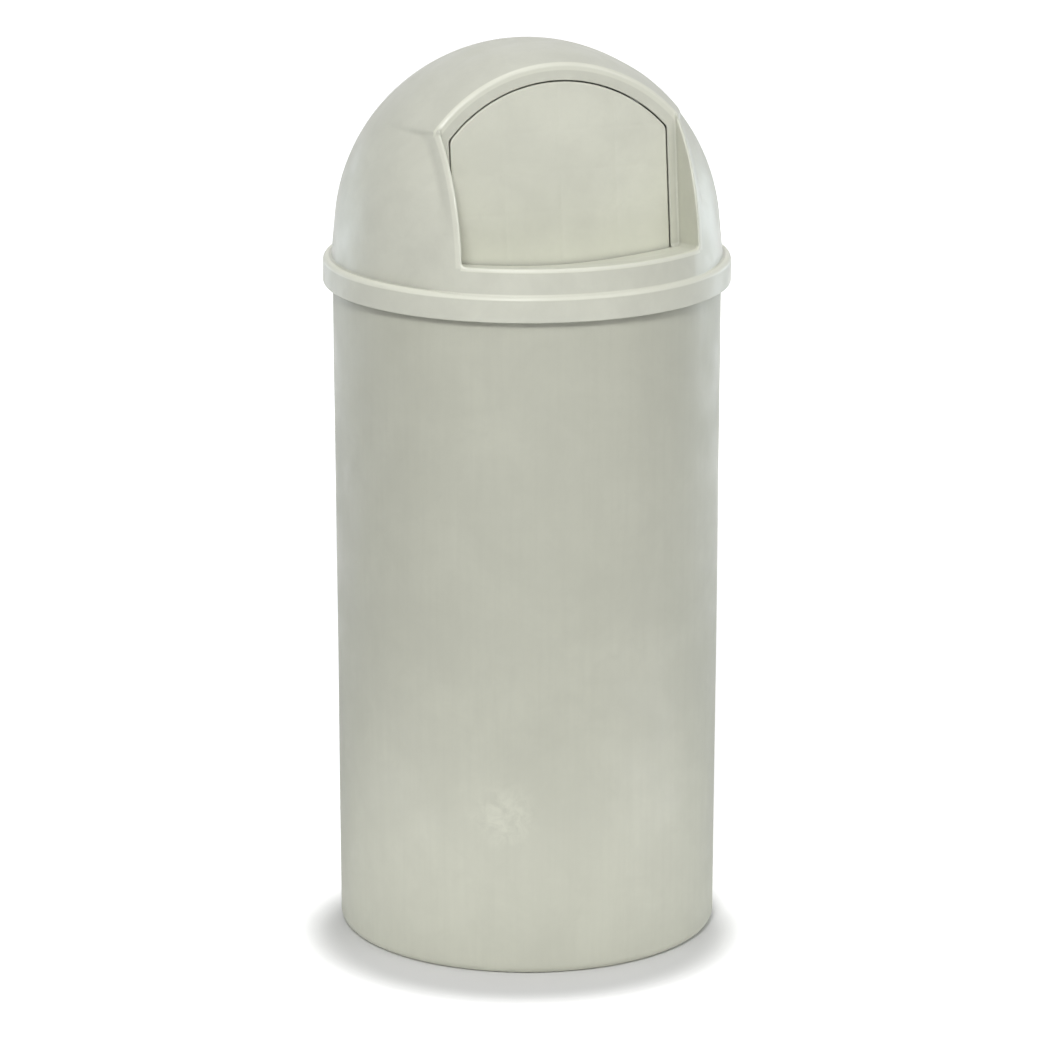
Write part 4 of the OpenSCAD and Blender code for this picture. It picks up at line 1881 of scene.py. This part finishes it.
    def _bush(self, side: Side, finish: bpy.types.Material) -> None:
        """Builds one flanged bush.

        Args:
            side: The bush's side.
            finish: Its material.
        """
        bore = self.rod_r + self.rod_clear
        flange_in = self.bracket_x - self.bush_flange_t
        line = rounded(
            [
                (bore, flange_in, 0.0003),
                (self.bush_flange_r, flange_in, 0.0005),
                (self.bush_flange_r, self.bracket_x, 0.0003),
                (self.bush_r, self.bracket_x, 0.0001),
                (self.bush_r, self.bush_out, 0.0004),
                (bore, self.bush_out, 0.0003),
            ],
            4,
        )
        place = self.on_hinge() @ Matrix.Rotation(side.value * math.pi / 2, 4, "Y")
        piece = turned(f"flanged_bush_{side.word}", line, 64, place)
        dress(piece, finish, Body.DOME, "bush_nylon", f"hinge_bush_{side.word}")

    def _spring(self, side: Side, finish: bpy.types.Material) -> None:
        """Builds one closing spring, which sits between the dome and the door.

        Args:
            side: The spring's side.
            finish: Its material.
        """
        path = self._spring_path()
        path[:, 0] *= side.value
        piece = wire(f"torsion_spring_{side.word}", path, self.wire_r, 14)
        piece.data.transform(self.face.matrix())
        piece.data.materials.append(finish)
        low, high = (
            self.face.point(side.value * x, self.hinge_up, -self.hinge_back)
            for x in (self.coil_from + 0.0012, self.coil_to - 0.0012)
        )
        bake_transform(piece)
        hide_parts(f"closing_spring_{side.word}")
        log.info("%s: %d faces, winds between door and dome", piece.name, len(piece.data.polygons))

    def _screws(self) -> None:
        """Builds the four screws as one piece."""
        low, high = (-0.004, -0.004, -0.0028), (0.004, 0.004, 0.0084)
        skin = Skin(self.screw_shape, low, high, 0.00018, 40_000)
        finish = Steel("screw_zinc", (0.56, 0.57, 0.60), rough=0.30, spangle=0.3).material()
        made = skin.build("bracket_screw_set")
        points = np.empty(len(made.data.vertices) * 3)
        made.data.vertices.foreach_get("co", points)
        points = points.reshape(-1, 3)
        faces = [list(f.vertices) for f in made.data.polygons]
        slopes = skin.slope(points)[1]
        slopes /= np.maximum(np.linalg.norm(slopes, axis=1), 1e-9)[:, None]
        all_points, all_slopes, all_faces = [], [], []
        place = np.array(self.face.matrix())
        for side in Side:
            for x, up in self.boss_at:
                spot = points + np.array((x, up, -self.pad_back - self.bracket_t))
                slope = slopes.copy()
                if side is Side.LEFT:
                    spot[:, 0] *= -1
                    slope[:, 0] *= -1
                start = sum(len(p) for p in all_points)
                order = -1 if side is Side.LEFT else 1
                all_faces += [[start + v for v in face[::order]] for face in faces]
                all_points.append(spot @ place[:3, :3].T + place[:3, 3])
                all_slopes.append(slope @ place[:3, :3].T)
        bpy.data.objects.remove(made)
        piece = new_piece("bracket_screw_set", np.concatenate(all_points), all_faces)
        piece.data.normals_split_custom_set_from_vertices(np.concatenate(all_slopes).tolist())
        dress(piece, finish, Body.DOME, "screw_steel", "bracket_screws")

    def _bumper(self, side: Side, finish: bpy.types.Material) -> None:
        """Builds one push-in rubber bumper.

        Args:
            side: The bumper's side.
            finish: Its material.
        """
        deep = self.stop_gap + self.wall
        line = rounded(
            [
                (0.0, 0.0, 0),
                (self.bumper_r - 0.0003, 0.0, 0.0007),
                (self.bumper_r, self.stop_gap, 0.0004),
                (self.stem_r, self.stop_gap, 0.0002),
                (self.stem_r, deep, 0.0002),
                (self.stem_r + 0.00125, deep, 0.0004),
                (self.stem_r - 0.0005, deep + 0.003, 0.0006),
                (0.0, deep + 0.003, 0),
            ],
            5,
        )
        x, up = self.bumper_at
        place = self.face.matrix() @ Matrix.Translation((side.value * x, up, 0))
        piece = turned(f"door_bumper_{side.word}", line, 48, place)
        dress(piece, finish, Body.DOME, "bumper_rubber", f"sill_bumper_{side.word}")


# ---------------------------------------------------------------- the studio


@dataclass(frozen=True)
class SoftBox:
    """A large soft lamp that looks at the receptacle."""

    name: str
    azimuth: float
    elevation: float
    distance: float
    size: Pair
    power: float
    tint: Point = (1.0, 1.0, 1.0)
    aim: float = 0.6

    def place(self) -> None:
        """Hangs the lamp."""
        data = bpy.data.lights.new(self.name, "AREA")
        data.shape = "RECTANGLE"
        data.size, data.size_y = self.size
        data.energy = self.power
        data.color = self.tint
        lamp = bpy.data.objects.new(self.name, data)
        lamp.visible_camera = False
        bpy.context.scene.collection.objects.link(lamp)
        a, e = math.radians(self.azimuth), math.radians(self.elevation)
        way = Vector((math.sin(a) * math.cos(e), -math.cos(a) * math.cos(e), math.sin(e)))
        lamp.location = Vector((0, 0, self.aim)) + way * self.distance
        lamp.rotation_mode = "QUATERNION"
        lamp.rotation_quaternion = (-way).to_track_quat("-Z", "Y")


@dataclass
class Studio:
    """A plain white floor, a white surround and soft lamps, with the photograph's camera."""

    camera_distance: float = 6.218864
    camera_height: float = 2.148099
    camera_azimuth: float = math.radians(-20)
    camera_pitch: float = math.radians(14.916)
    lens: float = 188.1
    shift: float = -7.5 / 1039
    floor_radius: float = 9.0
    surround: float = 0.13
    near_glow: float = 0.61
    shadow_middle: Point = (-0.027, -0.058, 0.0)
    shadow_ring: Pair = (0.212, 0.296)
    far_ring: Pair = (0.7, 2.6)
    floor_tone: float = 0.90
    seen_in_shadow: float = 0.765
    seen_clear: float = 0.86
    floor_steps: int = 96
    lamps: tuple[SoftBox, ...] = (
        SoftBox("overhead", 155, 83.2, 7.4, (0.6, 0.6), 138.0),
        SoftBox("key", -26, 35, 5.0, (1.2, 1.0), 124.0),
        SoftBox("fill_left", -60, 38, 4.2, (1.6, 1.6), 10.0),
        SoftBox("fill_right", 25, 38, 4.2, (1.6, 1.6), 18.0),
        SoftBox("rim_left", -150, 5, 4.2, (2.4, 1.6), 17.0, (0.80, 0.93, 1.0), aim=0.2),
        SoftBox("rim_right", 110, 5, 4.2, (2.4, 1.6), 35.0, (0.84, 0.95, 1.0), aim=0.2),
        SoftBox("foot_front", -20, 6, 0.45, (0.6, 0.04), 0.15, aim=0.05),
        SoftBox("foot_left", -80, 6, 0.45, (0.5, 0.04), 0.16, aim=0.05),
        SoftBox("foot_right", 40, 6, 0.45, (0.5, 0.04), 0.10, aim=0.05),
        SoftBox("side_left", -85, 1, 0.95, (0.7, 0.06), 0.3, aim=0.02),
        SoftBox("side_right", 50, 1, 0.95, (0.7, 0.06), 0.9, aim=0.02),
    )

    def _camera(self) -> None:
        """Puts the camera where the photograph was taken from."""
        data = bpy.data.cameras.new("photo_camera")
        data.sensor_width, data.lens = 36.0, self.lens
        data.shift_x = self.shift
        data.clip_start, data.clip_end = 0.1, 60
        camera = bpy.data.objects.new("photo_camera", data)
        bpy.context.scene.collection.objects.link(camera)
        a, p = self.camera_azimuth, self.camera_pitch
        camera.location = (
            math.sin(a) * self.camera_distance,
            -math.cos(a) * self.camera_distance,
            self.camera_height,
        )
        way = Vector((-math.sin(a) * math.cos(p), math.cos(a) * math.cos(p), -math.sin(p)))
        camera.rotation_mode = "QUATERNION"
        camera.rotation_quaternion = way.to_track_quat("-Z", "Y")
        bpy.context.scene.camera = camera

    @staticmethod
    def _seen(tree: bpy.types.NodeTree) -> Socket:
        """One for the rays that show the background: camera, glossy and transmission rays.

        Args:
            tree: The nodes of the material or the world.

        Returns:
            The share's output.
        """
        path = tree.nodes.new("ShaderNodeLightPath")
        seen = path.outputs["Is Camera Ray"]
        for ray in ("Is Glossy Ray", "Is Transmission Ray"):
            most = tree.nodes.new("ShaderNodeMath")
            most.operation = "MAXIMUM"
            tree.links.new(seen, most.inputs[0])
            tree.links.new(path.outputs[ray], most.inputs[1])
            seen = most.outputs[0]
        return seen

    def _world(self) -> None:
        """A white surround that lights the object only gently."""
        world = bpy.data.worlds.new("white_surround")
        bpy.context.scene.world = world
        world.use_nodes = True
        tree = world.node_tree
        back = tree.nodes["Background"]
        back.inputs["Color"].default_value = (1, 1, 1, 1)
        strength = tree.nodes.new("ShaderNodeMapRange")
        tree.links.new(self._seen(tree), strength.inputs["Value"])
        strength.inputs["To Min"].default_value = self.surround
        strength.inputs["To Max"].default_value = 1.0
        tree.links.new(strength.outputs["Result"], back.inputs["Strength"])

    def _floor(self) -> None:
        """A round white floor that keeps the object's shadow, with a painted shadow round the foot for
        the camera.
        """
        ring = np.arange(self.floor_steps) * 2 * math.pi / self.floor_steps
        points = np.stack([np.cos(ring), np.sin(ring), 0 * ring], 1) * self.floor_radius
        floor = new_piece("floor", points, [list(range(self.floor_steps))])
        n = Nodes("white_floor")
        n.tree.nodes.remove(n.shader)
        camera = n.add("ShaderNodeLightPath").outputs["Is Camera Ray"]
        # Painted shadow: seen by the camera, the floor is darker and has no glow in a disc round the
        # foot, set forward of the middle.
        clear = n.remap(n.reach(self.shadow_middle), self.shadow_ring, (0, 1), "SMOOTHSTEP")
        matte = n.add("ShaderNodeBsdfDiffuse")
        shade = n.blend(clear, (self.seen_in_shadow,) * 3, (self.seen_clear,) * 3)
        n.link(n.blend(camera, (self.floor_tone,) * 3, shade), matte.inputs["Color"])
        near = n.maths("MULTIPLY", n.remap(clear, (0, 1), (0, self.near_glow)), camera)
        far = n.remap(n.reach((0.0, 0.0, 0.0)), self.far_ring, (0, 1), "SMOOTHSTEP")
        far = n.maths("MULTIPLY", far, self._seen(n.tree))
        glow = n.add("ShaderNodeEmission")
        n.link(n.maths("MAXIMUM", near, far), glow.inputs["Strength"])
        both = n.add("ShaderNodeAddShader")
        n.link(matte.outputs[0], both.inputs[0])
        n.link(glow.outputs[0], both.inputs[1])
        output = next(node for node in n.tree.nodes if node.type == "OUTPUT_MATERIAL")
        n.link(both.outputs[0], output.inputs["Surface"])
        floor.data.materials.append(n.material)
        floor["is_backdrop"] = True

    def build(self) -> None:
        """Sets up the camera, floor, surround and lamps."""
        bpy.context.scene.view_settings.view_transform = "Standard"
        self._camera()
        self._world()
        self._floor()
        for lamp in self.lamps:
            lamp.place()


# ---------------------------------------------------------------- the whole


def corners() -> list[list[float]]:
    """The shown object's lowest and highest corners as plain lists."""
    return [list(corner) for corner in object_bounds()]


def main() -> None:
    """Builds the receptacle round its frame, piece by piece."""
    logging.basicConfig(level=logging.INFO, format="%(message)s", stream=sys.stdout)
    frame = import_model()
    log.info("frame loaded: %d nodes", len(frame["nodes"]))
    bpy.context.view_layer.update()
    Studio().build()
    WasteBody().build()
    Dome().build()
    PushDoor().build()
    HingeHardware().build()


if __name__ == "__main__":
    main()
